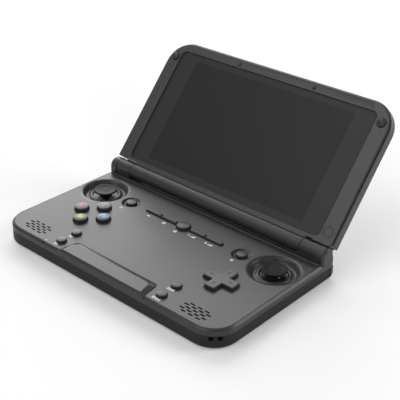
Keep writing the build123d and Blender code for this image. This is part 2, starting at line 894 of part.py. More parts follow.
# Case screws, driven from below into the posts of the deck
with BuildPart() as case_screws:
    screw_seat = case_low + screw_head_depth + foot_recess / 4
    with BuildSketch(Plane.XY.offset(screw_seat - screw_head_depth)):
        with Locations(*screw_points):
            Circle(screw_head_radius)
    extrude(amount=screw_head_depth)
    with BuildSketch(Plane.XY.offset(screw_seat)):
        with Locations(*screw_points):
            Circle(screw_shank_radius)
    extrude(amount=deck_height - 2.6 - screw_seat)
    with BuildSketch(Plane.XY.offset(screw_seat - screw_head_depth)):
        with Locations(*screw_points):
            Rectangle(2 * screw_head_radius * 0.65, 0.4)
            Rectangle(0.4, 2 * screw_head_radius * 0.65)
    extrude(amount=0.6, mode=Mode.SUBTRACT)
case_screws.part.label = "case_screws"
export_step(case_screws.part, "parts/case_screws.step")

# Main board: follows the case, with a window for the battery and holes for the stick cups
with BuildPart() as main_board:
    with BuildSketch(Plane.XY.offset(board_height)):
        add(board_plan)
        with Locations((0, (battery_front_y + battery_back_y) / 2)):
            Rectangle(
                2 * (battery_half_width + board_gap), battery_depth + 2 * board_gap, mode=Mode.SUBTRACT
            )
        with Locations((-stick_x, stick_y), (stick_x, stick_y)):
            Circle(housing_radius + running_gap, mode=Mode.SUBTRACT)
        with Locations(*screw_points):
            Circle(screw_shank_radius + running_gap, mode=Mode.SUBTRACT)
        board_back = hinge_y + shoulder_notch_reach + 0.1
        with Locations((0, board_back + 5)):
            Rectangle(3 * case_half_width, 10, mode=Mode.SUBTRACT)
    extrude(amount=board_thickness)
    # Two brackets that carry the rocker of the directional pad
    with BuildSketch(Plane.XY.offset(board_top)):
        with Locations((cross_x - bracket_reach, cross_y), (cross_x + bracket_reach, cross_y)):
            Rectangle(bracket_width, 2.0)
    extrude(amount=cross_pivot_height + 0.9 - board_top)
    with BuildSketch(Plane.YZ.offset(cross_x - bracket_reach - bracket_width)):
        with Locations((cross_y, cross_pivot_height)):
            Circle(trunnion_radius + pin_gap)
    extrude(amount=2 * (bracket_reach + bracket_width), mode=Mode.SUBTRACT)
main_board.part.label = "main_board"
export_step(main_board.part, "parts/main_board.step")

with BuildPart() as battery_pack:
    with BuildSketch(Plane.XY.offset(floor_height)):
        with Locations((0, (battery_front_y + battery_back_y) / 2)):
            RectangleRounded(2 * battery_half_width, battery_depth, 1.5)
    extrude(amount=battery_thickness)
    fillet(battery_pack.faces().sort_by(Axis.Z)[-1].edges(), 0.8)
battery_pack.part.label = "battery_pack"
export_step(battery_pack.part, "parts/battery_pack.step")

# Round speakers under the slotted grilles, each with a foam rim against the deck
for side_name, side in (("left", -1), ("right", 1)):
    with BuildPart() as speaker:
        with BuildSketch(Plane.XY.offset(board_top)):
            with Locations((side * speaker_x, speaker_y)):
                Circle(speaker_radius)
        extrude(amount=speaker_height)
        with BuildSketch(Plane.XY.offset(board_top + speaker_height)):
            with Locations((side * speaker_x, speaker_y)):
                Circle(speaker_radius - 0.2)
                Circle(speaker_radius - 0.9, mode=Mode.SUBTRACT)
        extrude(amount=deck_under - board_top - speaker_height)
        with BuildSketch(Plane.XY.offset(board_top + speaker_height - 0.8)):
            with Locations((side * speaker_x, speaker_y)):
                Circle(speaker_radius - 0.9)
                Circle(speaker_radius / 2, mode=Mode.SUBTRACT)
        extrude(amount=0.8, mode=Mode.SUBTRACT)
    speaker.part.label = f"speaker_{side_name}"
    export_step(speaker.part, f"parts/speaker_{side_name}.step")

# Rubber sheets on the board, with a dome under every button
for sheet_name, blocks, domes in membranes:
    with BuildPart() as membrane:
        with BuildSketch(Plane.XY.offset(board_top)):
            for x_low, x_high, y_low, y_high in blocks:
                with Locations(((x_low + x_high) / 2, (y_low + y_high) / 2)):
                    Rectangle(x_high - x_low, y_high - y_low)
            if sheet_name == "membrane_right":
                with Locations((cross_x, cross_y)):
                    Circle(bracket_reach + bracket_width, mode=Mode.SUBTRACT)
        extrude(amount=membrane_base)
        for x, y, radius, top in domes:
            with BuildSketch(Plane.XY.offset(board_top + membrane_base)):
                with Locations((x, y)):
                    Circle(radius)
            extrude(amount=top - board_top - membrane_base, taper=8)
    membrane.part.label = sheet_name
    export_step(membrane.part, f"parts/{sheet_name}.step")

# Sockets on the back edge of the board
for socket_name, (x, width, low, high) in socket_mouths.items():
    with BuildPart() as socket:
        with BuildSketch(Plane.XZ.offset(-(rear_y - case_wall))):
            with Locations((x, (board_top + high + socket_shell) / 2)):
                Rectangle(width + 2 * socket_shell, high + socket_shell - board_top)
        extrude(amount=socket_depths[socket_name])
        with BuildSketch(Plane.XZ.offset(-(rear_y - case_wall))):
            with Locations((x, (low + high) / 2)):
                Rectangle(width, high - low)
        extrude(amount=socket_depths[socket_name] - 1, mode=Mode.SUBTRACT)
        if socket_name != "card_slot":
            with BuildSketch(Plane.XZ.offset(-(rear_y - case_wall - 1))):
                with Locations((x, (low + high) / 2)):
                    Rectangle(width - 2.4, 0.7)
            extrude(amount=socket_depths[socket_name] - 1)
    socket.part.label = socket_name
    export_step(socket.part, f"parts/{socket_name}.step")

with BuildPart() as headphone_jack:
    with BuildSketch(Plane.XZ.offset(-(rear_y - case_wall))):
        with Locations((socket_row["jack"], (board_top + 2 * jack_z - board_top) / 2)):
            Rectangle(2 * (jack_z - board_top) + 2, 2 * (jack_z - board_top))
    extrude(amount=jack_length)
    with BuildSketch(Plane.XZ.offset(-(rear_y - case_wall))):
        with Locations((socket_row["jack"], jack_z)):
            Circle(jack_bore_radius)
    extrude(amount=jack_length - 1, mode=Mode.SUBTRACT)
headphone_jack.part.label = "headphone_jack"
export_step(headphone_jack.part, "parts/headphone_jack.step")

with BuildPart() as shoulder_switches:
    with BuildSketch(Plane.XY.offset(board_top)):
        switch_y = hinge_y + shoulder_notch_reach - 0.1 - switch_depth / 2
        with Locations(*[(x, switch_y) for x in switch_places]):
            Rectangle(switch_width, switch_depth)
    extrude(amount=shoulder_high - board_top - 0.2)
    with BuildSketch(Plane.XZ.offset(-(hinge_y + shoulder_notch_reach - 0.1))):
        with Locations(*[(x, (board_top + shoulder_high) / 2) for x in switch_places]):
            Rectangle(plunger_width, 0.8)
    extrude(amount=-0.25)
shoulder_switches.part.label = "shoulder_switches"
export_step(shoulder_switches.part, "parts/shoulder_switches.step")

# Status light: a clear pipe that lies across the front chamfer
with BuildPart() as status_light:
    with BuildSketch(light_plane):
        Circle(light_radius)
    extrude(amount=light_length)
status_light.part.label = "status_light"
export_step(status_light.part, "parts/status_light.step")

# Round buttons: a cap through the deck and a flange that stops it from below
for name, (x, y, radius, height) in round_buttons.items():
    with BuildPart() as button:
        with BuildSketch(Plane.XY.offset(flange_bottom)):
            with Locations((x, y)):
                Circle(radius + button_flange)
        extrude(amount=flange_thickness)
        with BuildSketch(upright(x, y)):
            with BuildLine():
                top = deck_height + height
                crown = button_crown * radius
                Line((0, flange_top), (radius, flange_top))
                Line((radius, flange_top), (radius, top - crown))
                dome = button_dome * radius
                shoulder = (radius - crown, top - dome)
                ThreePointArc(
                    (radius, top - crown),
                    (radius - 0.3 * crown, top - dome - 0.3 * (crown - dome)),
                    shoulder,
                )
                dome_radius = (shoulder[0] ** 2 + dome**2) / (2 * dome)
                lean = math.asin(shoulder[0] / dome_radius) / 2
                halfway = (dome_radius * math.sin(lean), top - dome_radius * (1 - math.cos(lean)))
                ThreePointArc(shoulder, halfway, (0, top))
                Line((0, top), (0, flange_top))
            make_face()
        revolve(axis=vertical_axis(x, y))
    button.part.label = name
    export_step(button.part, f"parts/{name}.step")

# Centre keys: bars that share a slot on each side, with the outer end round
for side_name, side in (("left", -1), ("right", 1)):
    for inner in (True, False):
        key_name = f"centre_key_{side_name}_{'inner' if inner else 'outer'}"
        near, far = key_span(side, inner)
        with BuildPart() as key:
            with BuildSketch(Plane.XY.offset(flange_bottom)):
                with Locations(((near + far) / 2, key_y)):
                    Rectangle(abs(far - near), key_width + 2 * button_flange)
            extrude(amount=flange_thickness)
            with BuildSketch(Plane.XY.offset(flange_top)):
                add(key_plans[(side, inner)])
            extrude(amount=deck_height + key_height - flange_top)
            fillet(key.faces().sort_by(Axis.Z)[-1].edges(), key_round)
        key.part.label = key_name
        export_step(key.part, f"parts/{key_name}.step")

# Directional pad: one rigid cross on two legs, pinned to a rocker that turns in the brackets
with BuildPart() as directional_pad:
    with BuildSketch(Plane.XY.offset(cross_under)):
        add(cross_face_plan)
    extrude(amount=deck_height + cross_height - cross_under)
    fillet(directional_pad.faces().sort_by(Axis.Z)[-1].edges(), cross_edge_round)
    with BuildSketch(Plane.XY.offset(deck_height + cross_height - cross_mark_depth)):
        with Locations((cross_x - cross_mark_reach, cross_y), (cross_x + cross_mark_reach, cross_y)):
            Rectangle(cross_mark_length, cross_mark_width)
        with Locations((cross_x, cross_y - cross_mark_reach), (cross_x, cross_y + cross_mark_reach)):
            Rectangle(cross_mark_width, cross_mark_length)
    extrude(amount=cross_mark_depth + 1, mode=Mode.SUBTRACT)
    with BuildSketch(Plane.XY.offset(cross_pivot_height - 0.9)):
        with Locations((cross_x, cross_y - leg_reach), (cross_x, cross_y + leg_reach)):
            Rectangle(2.0, leg_width)
    extrude(amount=cross_under - cross_pivot_height + 0.9)
    with BuildSketch(Plane.XZ.offset(-(cross_y + leg_reach + leg_width))):
        with Locations((cross_x, cross_pivot_height)):
            Circle(trunnion_radius + pin_gap)
    extrude(amount=2 * (leg_reach + leg_width), mode=Mode.SUBTRACT)
directional_pad.part.label = "directional_pad"
export_step(directional_pad.part, "parts/directional_pad.step")

with BuildPart() as pad_rocker:
    with BuildSketch(Plane.XY.offset(cross_pivot_height - rocker_height / 2)):
        with Locations((cross_x, cross_y)):
            Rectangle(2 * rocker_half_width, 2 * rocker_half_width)
    extrude(amount=rocker_height)
    with BuildSketch(Plane.YZ.offset(cross_x - bracket_reach - bracket_width / 2)):
        with Locations((cross_y, cross_pivot_height)):
            Circle(trunnion_radius)
    extrude(amount=2 * bracket_reach + bracket_width)
    with BuildSketch(Plane.XZ.offset(-(cross_y + leg_reach + leg_width / 2))):
        with Locations((cross_x, cross_pivot_height)):
            Circle(trunnion_radius)
    extrude(amount=2 * leg_reach + leg_width)
pad_rocker.part.label = "pad_rocker"
export_step(pad_rocker.part, "parts/pad_rocker.step")

# Analogue sticks: a fixed cup, a yoke that tilts about X, and a shaft that tilts about Y in it
for side_name, side in (("left", -1), ("right", 1)):
    centre = (side * stick_x, stick_y)
    with BuildPart() as stick_housing:
        with BuildSketch(Plane.XY.offset(housing_low)):
            with Locations(centre):
                Circle(housing_radius)
        extrude(amount=housing_height - housing_low)
        with BuildSketch(Plane.XY.offset(board_top)):
            with Locations(centre):
                RectangleRounded(housing_flange, housing_flange, 1.0)
        extrude(amount=housing_flange_thickness)
        with BuildSketch(Plane.XY.offset(housing_low + housing_floor)):
            with Locations(centre):
                Circle(housing_radius - housing_wall)
        extrude(amount=housing_height, mode=Mode.SUBTRACT)
        post_near = stick_dome_radius + 0.3
        post_far = housing_radius - housing_wall + 0.1
        with BuildSketch(Plane.XY.offset(housing_low + housing_floor)):
            for end in (-1, 1):
                with Locations((centre[0] + end * (post_near + post_far) / 2, centre[1])):
                    Rectangle(post_far - post_near, 2.2)
        extrude(amount=stick_pivot_height + 0.9 - housing_low - housing_floor)
        bearing_reach = trunnion_reach + 0.05
        with BuildSketch(Plane.YZ.offset(centre[0] - bearing_reach)):
            with Locations((centre[1], stick_pivot_height)):
                Circle(trunnion_radius + pin_gap)
        extrude(amount=2 * bearing_reach, mode=Mode.SUBTRACT)
    stick_housing.part.label = f"stick_housing_{side_name}"
    export_step(stick_housing.part, f"parts/stick_housing_{side_name}.step")

    with BuildPart() as stick_ring:
        ring_low = housing_height - stick_ring_thickness
        plug_radius = housing_radius - housing_wall - fit_gap
        with BuildSketch(upright(*centre)):
            with BuildLine():
                Polyline(
                    (stick_ring_bore, ring_low),
                    (plug_radius, ring_low),
                    (plug_radius, housing_height),
                    (housing_radius, housing_height),
                    (housing_radius, housing_height + stick_ring_rim),
                    (plug_radius, housing_height + stick_ring_rim),
                    (plug_radius - 0.5, housing_height),
                    (stick_ring_bore, housing_height),
                    close=True,
                )
            make_face()
        revolve(axis=vertical_axis(*centre))
    stick_ring.part.label = f"stick_ring_{side_name}"
    export_step(stick_ring.part, f"parts/stick_ring_{side_name}.step")

    with BuildPart() as stick_yoke:
        with BuildSketch(Plane.XY.offset(stick_pivot_height - yoke_thickness / 2)):
            with Locations(centre):
                Circle(yoke_outer_radius)
        extrude(amount=yoke_thickness)
        with BuildSketch(Plane.YZ.offset(centre[0] - trunnion_reach)):
            with Locations((centre[1], stick_pivot_height)):
                Circle(trunnion_radius)
        extrude(amount=2 * trunnion_reach)
        with BuildSketch(Plane.XY.offset(stick_pivot_height - yoke_thickness)):
            with Locations(centre):
                Circle(yoke_inner_radius)
        extrude(amount=2 * yoke_thickness, mode=Mode.SUBTRACT)
        with BuildSketch(Plane.XZ.offset(-(centre[1] + yoke_outer_radius + 1))):
            with Locations((centre[0], stick_pivot_height)):
                Circle(trunnion_radius + pin_gap)
        extrude(amount=2 * yoke_outer_radius + 2, mode=Mode.SUBTRACT)
    stick_yoke.part.label = f"stick_yoke_{side_name}"
    export_step(stick_yoke.part, f"parts/stick_yoke_{side_name}.step")

    dome_top_z = stick_pivot_height + stick_dome_radius
    cap_top_z = deck_height + stick_cap_height
    cap_under_z = cap_top_z - stick_cap_thickness
    stem_top_z = cap_under_z + stick_cap_thickness / 2
    with BuildPart() as stick_shaft:
        rim_lean = math.asin(stick_dome_rim / stick_dome_radius)
        inner_radius = stick_dome_radius - stick_dome_wall
        inner_lean = math.asin(stick_dome_rim / inner_radius)
        stem_join = math.sqrt(stick_dome_radius**2 - stick_stem_radius**2)
        rod_join = math.sqrt(inner_radius**2 - stick_rod_radius**2)
        outer_lean = (rim_lean + math.atan2(stem_join, stick_stem_radius)) / 2
        middle_lean = (inner_lean + math.atan2(rod_join, stick_rod_radius)) / 2
        outer_rim = (stick_dome_radius * math.cos(rim_lean), stick_pivot_height + stick_dome_rim)
        inner_rim = (inner_radius * math.cos(inner_lean), stick_pivot_height + stick_dome_rim)
        with BuildSketch(upright(*centre)):
            with BuildLine():
                Polyline(
                    inner_rim,
                    outer_rim,
                )
                ThreePointArc(
                    outer_rim,
                    (
                        stick_dome_radius * math.cos(outer_lean),
                        stick_pivot_height + stick_dome_radius * math.sin(outer_lean),
                    ),
                    (stick_stem_radius, stick_pivot_height + stem_join),
                )
                Polyline(
                    (stick_stem_radius, stick_pivot_height + stem_join),
                    (stick_stem_radius, stem_top_z),
                    (0, stem_top_z),
                    (0, stick_pivot_height - yoke_thickness / 2),
                    (stick_rod_radius, stick_pivot_height - yoke_thickness / 2),
                    (stick_rod_radius, stick_pivot_height + rod_join),
                )
                ThreePointArc(
                    (stick_rod_radius, stick_pivot_height + rod_join),
                    (
                        inner_radius * math.cos(middle_lean),
                        stick_pivot_height + inner_radius * math.sin(middle_lean),
                    ),
                    inner_rim,
                )
            make_face()
        revolve(axis=vertical_axis(*centre))
        pin_reach = (yoke_inner_radius + yoke_outer_radius) / 2 + 0.25
        with BuildSketch(Plane.XZ.offset(-(centre[1] + pin_reach))):
            with Locations((centre[0], stick_pivot_height)):
                Circle(trunnion_radius)
        extrude(amount=2 * pin_reach)
    stick_shaft.part.label = f"stick_shaft_{side_name}"
    export_step(stick_shaft.part, f"parts/stick_shaft_{side_name}.step")

    with BuildPart() as stick_cap:
        with BuildSketch(upright(*centre)):
            with BuildLine():
                waist_z = cap_top_z - 0.75
                Polyline(
                    (0, cap_top_z - stick_cap_dish),
                    (0, stem_top_z),
                    (stick_stem_radius + fit_gap, stem_top_z),
                    (stick_stem_radius + fit_gap, cap_under_z),
                    (stick_cap_under_radius, cap_under_z),
                    (stick_cap_radius, waist_z),
                    (stick_cap_radius, cap_top_z - 0.45),
                )
                ThreePointArc(
                    (stick_cap_radius, cap_top_z - 0.45),
                    (stick_cap_radius - 0.14, cap_top_z - 0.14),
                    (stick_cap_radius - 0.5, cap_top_z),
                )
                Spline(
                    (stick_cap_radius - 0.5, cap_top_z),
                    (stick_cap_radius * 0.62, cap_top_z - 0.75 * stick_cap_dish),
                    (0, cap_top_z - stick_cap_dish),
                    tangents=((-1, 0), (-1, 0)),
                )
            make_face()
        revolve(axis=vertical_axis(*centre))
    stick_cap.part.label = f"stick_cap_{side_name}"
    export_step(stick_cap.part, f"parts/stick_cap_{side_name}.step")

# Shoulder buttons in the rear wall: the outer ones wrap round the corner of the case
for side_name, side in (("left", -1), ("right", 1)):
    for place_name, (near, far) in shoulder_spans.items():
        flange_far = far if far < case_half_width else case_half_width - case_wall - 0.15
        proud_y = rear_y + shoulder_proud
        inside_y = rear_y - case_wall - running_gap - shoulder_flange_depth
        with BuildPart() as shoulder_button:
            with BuildSketch(Plane.XY.offset(shoulder_low)):
                with Locations((side * (near + far) / 2, (inside_y + proud_y) / 2)):
                    Rectangle(far - near, proud_y - inside_y)
            extrude(amount=shoulder_high - shoulder_low)
            corner_edges = shoulder_button.edges().filter_by(Axis.Z).group_by(Axis.Y)[-1]
            if far < case_half_width:
                fillet(corner_edges, 0.4)
            else:
                fillet(corner_edges.sort_by(Axis.X)[-1 if side > 0 else 0], case_rear_radius)
                fillet(
                    shoulder_button.edges().filter_by(Axis.Z).group_by(Axis.Y)[-1]
                    .sort_by(Axis.X)[0 if side > 0 else -1],
                    0.4,
                )
            with BuildSketch(Plane.XY.offset(shoulder_low - shoulder_flange)):
                with Locations((side * (near + flange_far) / 2, inside_y + shoulder_flange_depth / 2)):
                    Rectangle(flange_far - near, shoulder_flange_depth)
            extrude(amount=shoulder_high - shoulder_low + 2 * shoulder_flange)
        shoulder_button.part.label = f"shoulder_button_{side_name}_{place_name}"
        export_step(shoulder_button.part, f"parts/shoulder_button_{side_name}_{place_name}.step")

# Steel shafts in the knuckles, and the friction sleeves in the barrel that turn on them
with BuildPart() as hinge_shafts:
    shaft_far = case_half_width - shaft_end_wall
    with BuildSketch(Plane.YZ.offset(shaft_far - shaft_length)):
        with Locations((hinge_y, hinge_z)):
            Circle(shaft_radius)
    extrude(amount=shaft_length)
    mirror(about=Plane.YZ)
hinge_shafts.part.label = "hinge_shafts"
export_step(hinge_shafts.part, "parts/hinge_shafts.step")

with BuildPart() as hinge_sleeves:
    with BuildSketch(Plane.YZ.offset(barrel_x - sleeve_length)):
        with Locations((hinge_y, hinge_z)):
            Circle(sleeve_radius)
            Circle(shaft_radius + hinge_running_gap, mode=Mode.SUBTRACT)
    extrude(amount=sleeve_length)
    mirror(about=Plane.YZ)
hinge_sleeves.part.label = "hinge_sleeves"
export_step(hinge_sleeves.part, "parts/hinge_sleeves.step")

# Lid cover: the outer shell of the lid, with the neck and barrel that the shafts run through
with BuildPart() as lid_cover:
    with BuildSketch(lid_front.offset(lid_back_offset)):
        add(cover_face)
    extrude(amount=cover_offset - lid_back_offset)
    back_edges = lid_cover.faces().sort_by(lid_axis)[0].edges().sort_by(lid_up_axis)
    fillet(back_edges[1:], lid_back_round)
    with BuildSketch(lid_front.offset(lid_back_offset)):
        add(cover_corner_cuts)
    extrude(amount=lid_thickness, mode=Mode.SUBTRACT)
    with BuildSketch(lid_front.offset(lid_back_offset + lid_wall)):
        add(cover_inner_face)
    extrude(amount=lid_thickness, mode=Mode.SUBTRACT)
    cavity_depth = display_back_offset - lid_back_offset - lid_wall
    with BuildSketch(lid_front.offset(lid_back_offset + lid_wall)):
        for reach in lid_rib_reaches:
            with Locations((0, reach)):
                Rectangle(2 * (case_half_width - lid_wall) + 0.4, lid_rib_width)
    extrude(amount=cavity_depth)
    with BuildSketch(lid_front.offset(lid_back_offset + lid_wall)):
        with Locations(*lid_screw_points):
            Circle(lid_post_radius)
    extrude(amount=cover_offset - lid_back_offset - lid_wall)
    with BuildSketch(lid_front.offset(cover_offset - lid_screw_length)):
        with Locations(*lid_screw_points):
            Circle(screw_shank_radius + fit_gap)
    extrude(amount=lid_screw_length + 1, mode=Mode.SUBTRACT)
    with BuildSketch(lid_side.offset(-barrel_x)):
        Circle(barrel_radius)
        with BuildLine():
            Polyline(
                (0, -barrel_radius),
                (lid_end_reach + lid_wall, -barrel_radius - 1.2),
                (lid_end_reach + lid_wall, cover_offset),
                (0, cover_offset),
                close=True,
            )
        make_face()
    extrude(amount=2 * barrel_x)
    with BuildSketch(lid_side.offset(-barrel_x - 1)):
        Circle(sleeve_radius + fit_gap)
    extrude(amount=2 * barrel_x + 2, mode=Mode.SUBTRACT)
    with BuildSketch(lid_side.offset(cable_x - cable_width / 2 - 0.5)):
        with Locations(((cable_slot_end - 0.4) / 2, cable_offset)):
            Rectangle(cable_slot_end + 0.4, cable_thickness + 0.5)
    extrude(amount=cable_width + 1, mode=Mode.SUBTRACT)
lid_cover.part.label = "lid_cover"
export_step(lid_cover.part, "parts/lid_cover.step")

# Bezel: frame of the screen, its lower edge hollowed to pass over the barrel
with BuildPart() as lid_bezel:
    with BuildSketch(lid_front.offset(cover_offset)):
        add(bezel_face)
        with Locations((0, (lid_end_reach + 2) / 2)):
            Rectangle(2 * barrel_x, lid_end_reach + 2)
    extrude(amount=bezel_thickness)
    front_edges = lid_bezel.faces().sort_by(lid_axis)[-1].edges()
    outer_edges = [e for e in front_edges if lid_front.to_local_coords(e.center()).Y > lid_end_reach + 1]
    fillet(outer_edges, bezel_round)
    with BuildSketch(lid_front.offset(cover_offset)):
        add(bezel_corner_cuts)
    extrude(amount=bezel_thickness, mode=Mode.SUBTRACT)
    with BuildSketch(lid_side.offset(-case_half_width - 1)):
        Circle(barrel_radius + running_gap)
        with Locations((-barrel_radius, 0)):
            Rectangle(2 * barrel_radius, 4 * barrel_radius)
    extrude(amount=2 * case_half_width + 2, mode=Mode.SUBTRACT)
    with BuildSketch(lid_front.offset(cover_offset)):
        add(window_face)
    extrude(amount=bezel_thickness, mode=Mode.SUBTRACT)
    with BuildSketch(lid_front.offset(cover_offset)):
        add(glass_pocket_face)
    extrude(amount=glass_offset - cover_offset, mode=Mode.SUBTRACT)
    with BuildSketch(lid_front.offset(cover_offset)):
        with Locations(*lid_screw_points):
            Circle(screw_shank_radius + running_gap)
    extrude(amount=bezel_thickness, mode=Mode.SUBTRACT)
    with BuildSketch(lid_front.offset(lid_screw_seat_offset)):
        with Locations(*lid_screw_points):
            Circle(screw_head_radius + running_gap / 2)
    extrude(amount=bezel_thickness, mode=Mode.SUBTRACT)
    with BuildSketch(lid_front.offset(bezel_offset - cover_cap_thickness)):
        with Locations(*cover_cap_points):
            Circle(cover_cap_radius + cover_cap_gap)
    extrude(amount=bezel_thickness, mode=Mode.SUBTRACT)
    with BuildSketch(lid_front.offset(bezel_offset - bumper_seat)):
        with Locations(*bumper_points):
            Circle(bumper_radius + bumper_ring)
    extrude(amount=bezel_thickness, mode=Mode.SUBTRACT)
    with BuildSketch(lid_front.offset(bezel_offset - nub_seat)):
        with Locations(*nub_points):
            Circle(nub_radius + nub_rim)
    extrude(amount=bezel_thickness, mode=Mode.SUBTRACT)
lid_bezel.part.label = "lid_bezel"
export_step(lid_bezel.part, "parts/lid_bezel.step")

with BuildPart() as screen_glass:
    with BuildSketch(lid_front.offset(cover_offset)):
        add(glass_face)
    extrude(amount=glass_offset - cover_offset)
screen_glass.part.label = "screen_glass"
export_step(screen_glass.part, "parts/screen_glass.step")

with BuildPart() as display_panel:
    with BuildSketch(lid_front.offset(display_back_offset)):
        with Locations((0, (display_low_reach + display_high_reach) / 2)):
            Rectangle(2 * display_half_width, display_high_reach - display_low_reach)
    extrude(amount=display_thickness)
display_panel.part.label = "display_panel"
export_step(display_panel.part, "parts/display_panel.step")

# Flat cable from the display through the neck to a coil in the barrel
with BuildPart() as display_cable:
    coil_radius = sleeve_radius - 0.15
    with BuildSketch(lid_side.offset(cable_x - cable_width / 2)):
        Circle(coil_radius)
        Circle(coil_radius - cable_thickness, mode=Mode.SUBTRACT)
        with Locations((-2, 0)):
            Rectangle(2.4, 1.6, mode=Mode.SUBTRACT)
        with Locations(((cable_slot_end + 4) / 2, display_back_offset - cable_thickness / 2)):
            Rectangle(cable_slot_end + 4, cable_thickness)
    extrude(amount=cable_width)
display_cable.part.label = "display_cable"
export_step(display_cable.part, "parts/display_cable.step")

# Domed rubber bumpers at the top corners of the bezel
with BuildPart() as lid_bumpers:
    for x, reach in bumper_points:
        with BuildSketch(stand_plane(x, reach)):
            with BuildLine():
                low = bezel_offset - bumper_seat
                high = bezel_offset + bumper_height
                Polyline((0, high), (0, low), (bumper_radius, low), (bumper_radius, bezel_offset + 0.4))
                Spline(
                    (bumper_radius, bezel_offset + 0.4),
                    (0.72 * bumper_radius, high - 0.3),
                    (0, high),
                    tangents=((0, 1), (-1, 0)),
                )
            make_face()
        revolve(axis=stand_axis(x, reach))
lid_bumpers.part.label = "lid_bumpers"
export_step(lid_bumpers.part, "parts/lid_bumpers.step")

with BuildPart() as lid_nubs:
    with BuildSketch(lid_front.offset(bezel_offset - nub_seat)):
        with Locations(*nub_points):
            Circle(nub_radius)
    extrude(amount=nub_seat + nub_height)
    fillet(lid_nubs.faces().group_by(lid_axis)[-1].edges(), 0.3)
lid_nubs.part.label = "lid_nubs"
export_step(lid_nubs.part, "parts/lid_nubs.step")

with BuildPart() as screw_covers:
    with BuildSketch(lid_front.offset(bezel_offset - cover_cap_thickness)):
        with Locations(*cover_cap_points):
            Circle(cover_cap_radius)
    extrude(amount=cover_cap_thickness)
screw_covers.part.label = "screw_covers"
export_step(screw_covers.part, "parts/screw_covers.step")

with BuildPart() as lid_screws:
    with BuildSketch(lid_front.offset(cover_offset - lid_screw_length + 0.3)):
        with Locations(*lid_screw_points):
            Circle(screw_shank_radius)
    extrude(amount=lid_screw_seat_offset - cover_offset + lid_screw_length - 0.3)
    with BuildSketch(lid_front.offset(lid_screw_seat_offset)):
        with Locations(*lid_screw_points):
            Circle(screw_head_radius)
    extrude(amount=lid_screw_head)
lid_screws.part.label = "lid_screws"
export_step(lid_screws.part, "parts/lid_screws.step")
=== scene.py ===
import json
import math

import bmesh
import bpy
from bpy.props import FloatProperty, FloatVectorProperty, PointerProperty
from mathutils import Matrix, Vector


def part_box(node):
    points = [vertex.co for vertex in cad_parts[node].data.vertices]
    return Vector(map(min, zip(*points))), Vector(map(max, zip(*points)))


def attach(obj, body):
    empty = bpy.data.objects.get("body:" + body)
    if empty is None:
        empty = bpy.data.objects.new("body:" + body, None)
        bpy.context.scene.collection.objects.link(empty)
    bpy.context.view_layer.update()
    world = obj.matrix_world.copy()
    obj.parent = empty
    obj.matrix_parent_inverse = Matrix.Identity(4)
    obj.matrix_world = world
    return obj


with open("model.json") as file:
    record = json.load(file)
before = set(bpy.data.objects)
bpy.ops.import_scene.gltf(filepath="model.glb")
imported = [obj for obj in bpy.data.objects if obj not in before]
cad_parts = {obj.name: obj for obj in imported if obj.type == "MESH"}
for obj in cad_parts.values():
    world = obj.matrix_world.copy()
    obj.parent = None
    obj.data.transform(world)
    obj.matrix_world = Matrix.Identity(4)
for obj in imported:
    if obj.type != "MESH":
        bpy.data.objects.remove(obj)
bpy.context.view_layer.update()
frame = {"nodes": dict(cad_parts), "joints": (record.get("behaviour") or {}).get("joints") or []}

bl_info = {
    "name": "Clamshell Handheld Finish",
    "version": (1, 0, 0),
    "blender": (4, 5, 0),
    "location": "View3D > Sidebar > Handheld",
    "description": "Gives a clamshell handheld console its plastics, glass, printed marks and studio",
    "category": "Object",
}

MM = 0.001

# The deck is the plane that the front plate's foot sits in, this far under the plate's top
PLATE_RISE = 1.3 * MM
DECK_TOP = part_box("front_plate")[1].z - PLATE_RISE
HINGE = Vector(next(j["pos_m"] for j in frame["joints"] if j["name"] == "lid_hinge"))
# Degrees between deck and lid at rest, and the lid's own directions: up its face and out of its screen
OPEN_ANGLE = 131.04
LID_RISE = math.radians(180 - OPEN_ANGLE)
LID_UP = Vector((0, math.cos(LID_RISE), math.sin(LID_RISE)))
LID_OUT = Vector((0, -math.sin(LID_RISE), math.cos(LID_RISE)))

# Moulded plastic: size of its clouds of tint, how far tint and roughness stray, and the depth of its texture
CLOUD_SIZE = 30 * MM
TINT_SPREAD = 0.06
POLISH_SPREAD = 0.03
SPARK_DEPTH = 0.00001
POLISHED_DEPTH = 0.000004
TEXTURE_STRENGTH = 0.6
# Plain finishes: size of their grain, shade of their darker spots, and how far their roughness strays
PLAIN_GRAIN = 0.0004
PLAIN_SHADE = 0.85
PLAIN_POLISH = (0.8, 1.2)
# Cover glass: size of its etch, roughness from spot to spot, and how much it shines
ETCH_SIZE = 0.5 * MM
ETCH_ROUGHNESS = (0.26, 0.32)
GLASS_GLOSS = 0.12
# Paper: size of its fibres, and how much light it gives back from spot to spot
FIBRE_SIZE = 2 * MM
PAPER_WHITE = (0.79, 0.81)
# Edges that turn by more than this stay sharp, and corners that lie closer than this are one
SHARP_ANGLE = math.radians(28)
WELD_DISTANCE = 1e-7

# Folded edge of the lid cover beside the barrel: its section, from the hinge axis, and where each part starts
LIP_UP = (4.3 * MM, 5.3 * MM)
LIP_OUT = (-7.3 * MM, -5.3 * MM)
LIP_ROUND = 0.3 * MM
LIP_LENGTH = 13.3 * MM
LIP_STARTS = (("left", -74.3 * MM), ("right", 61.0 * MM))

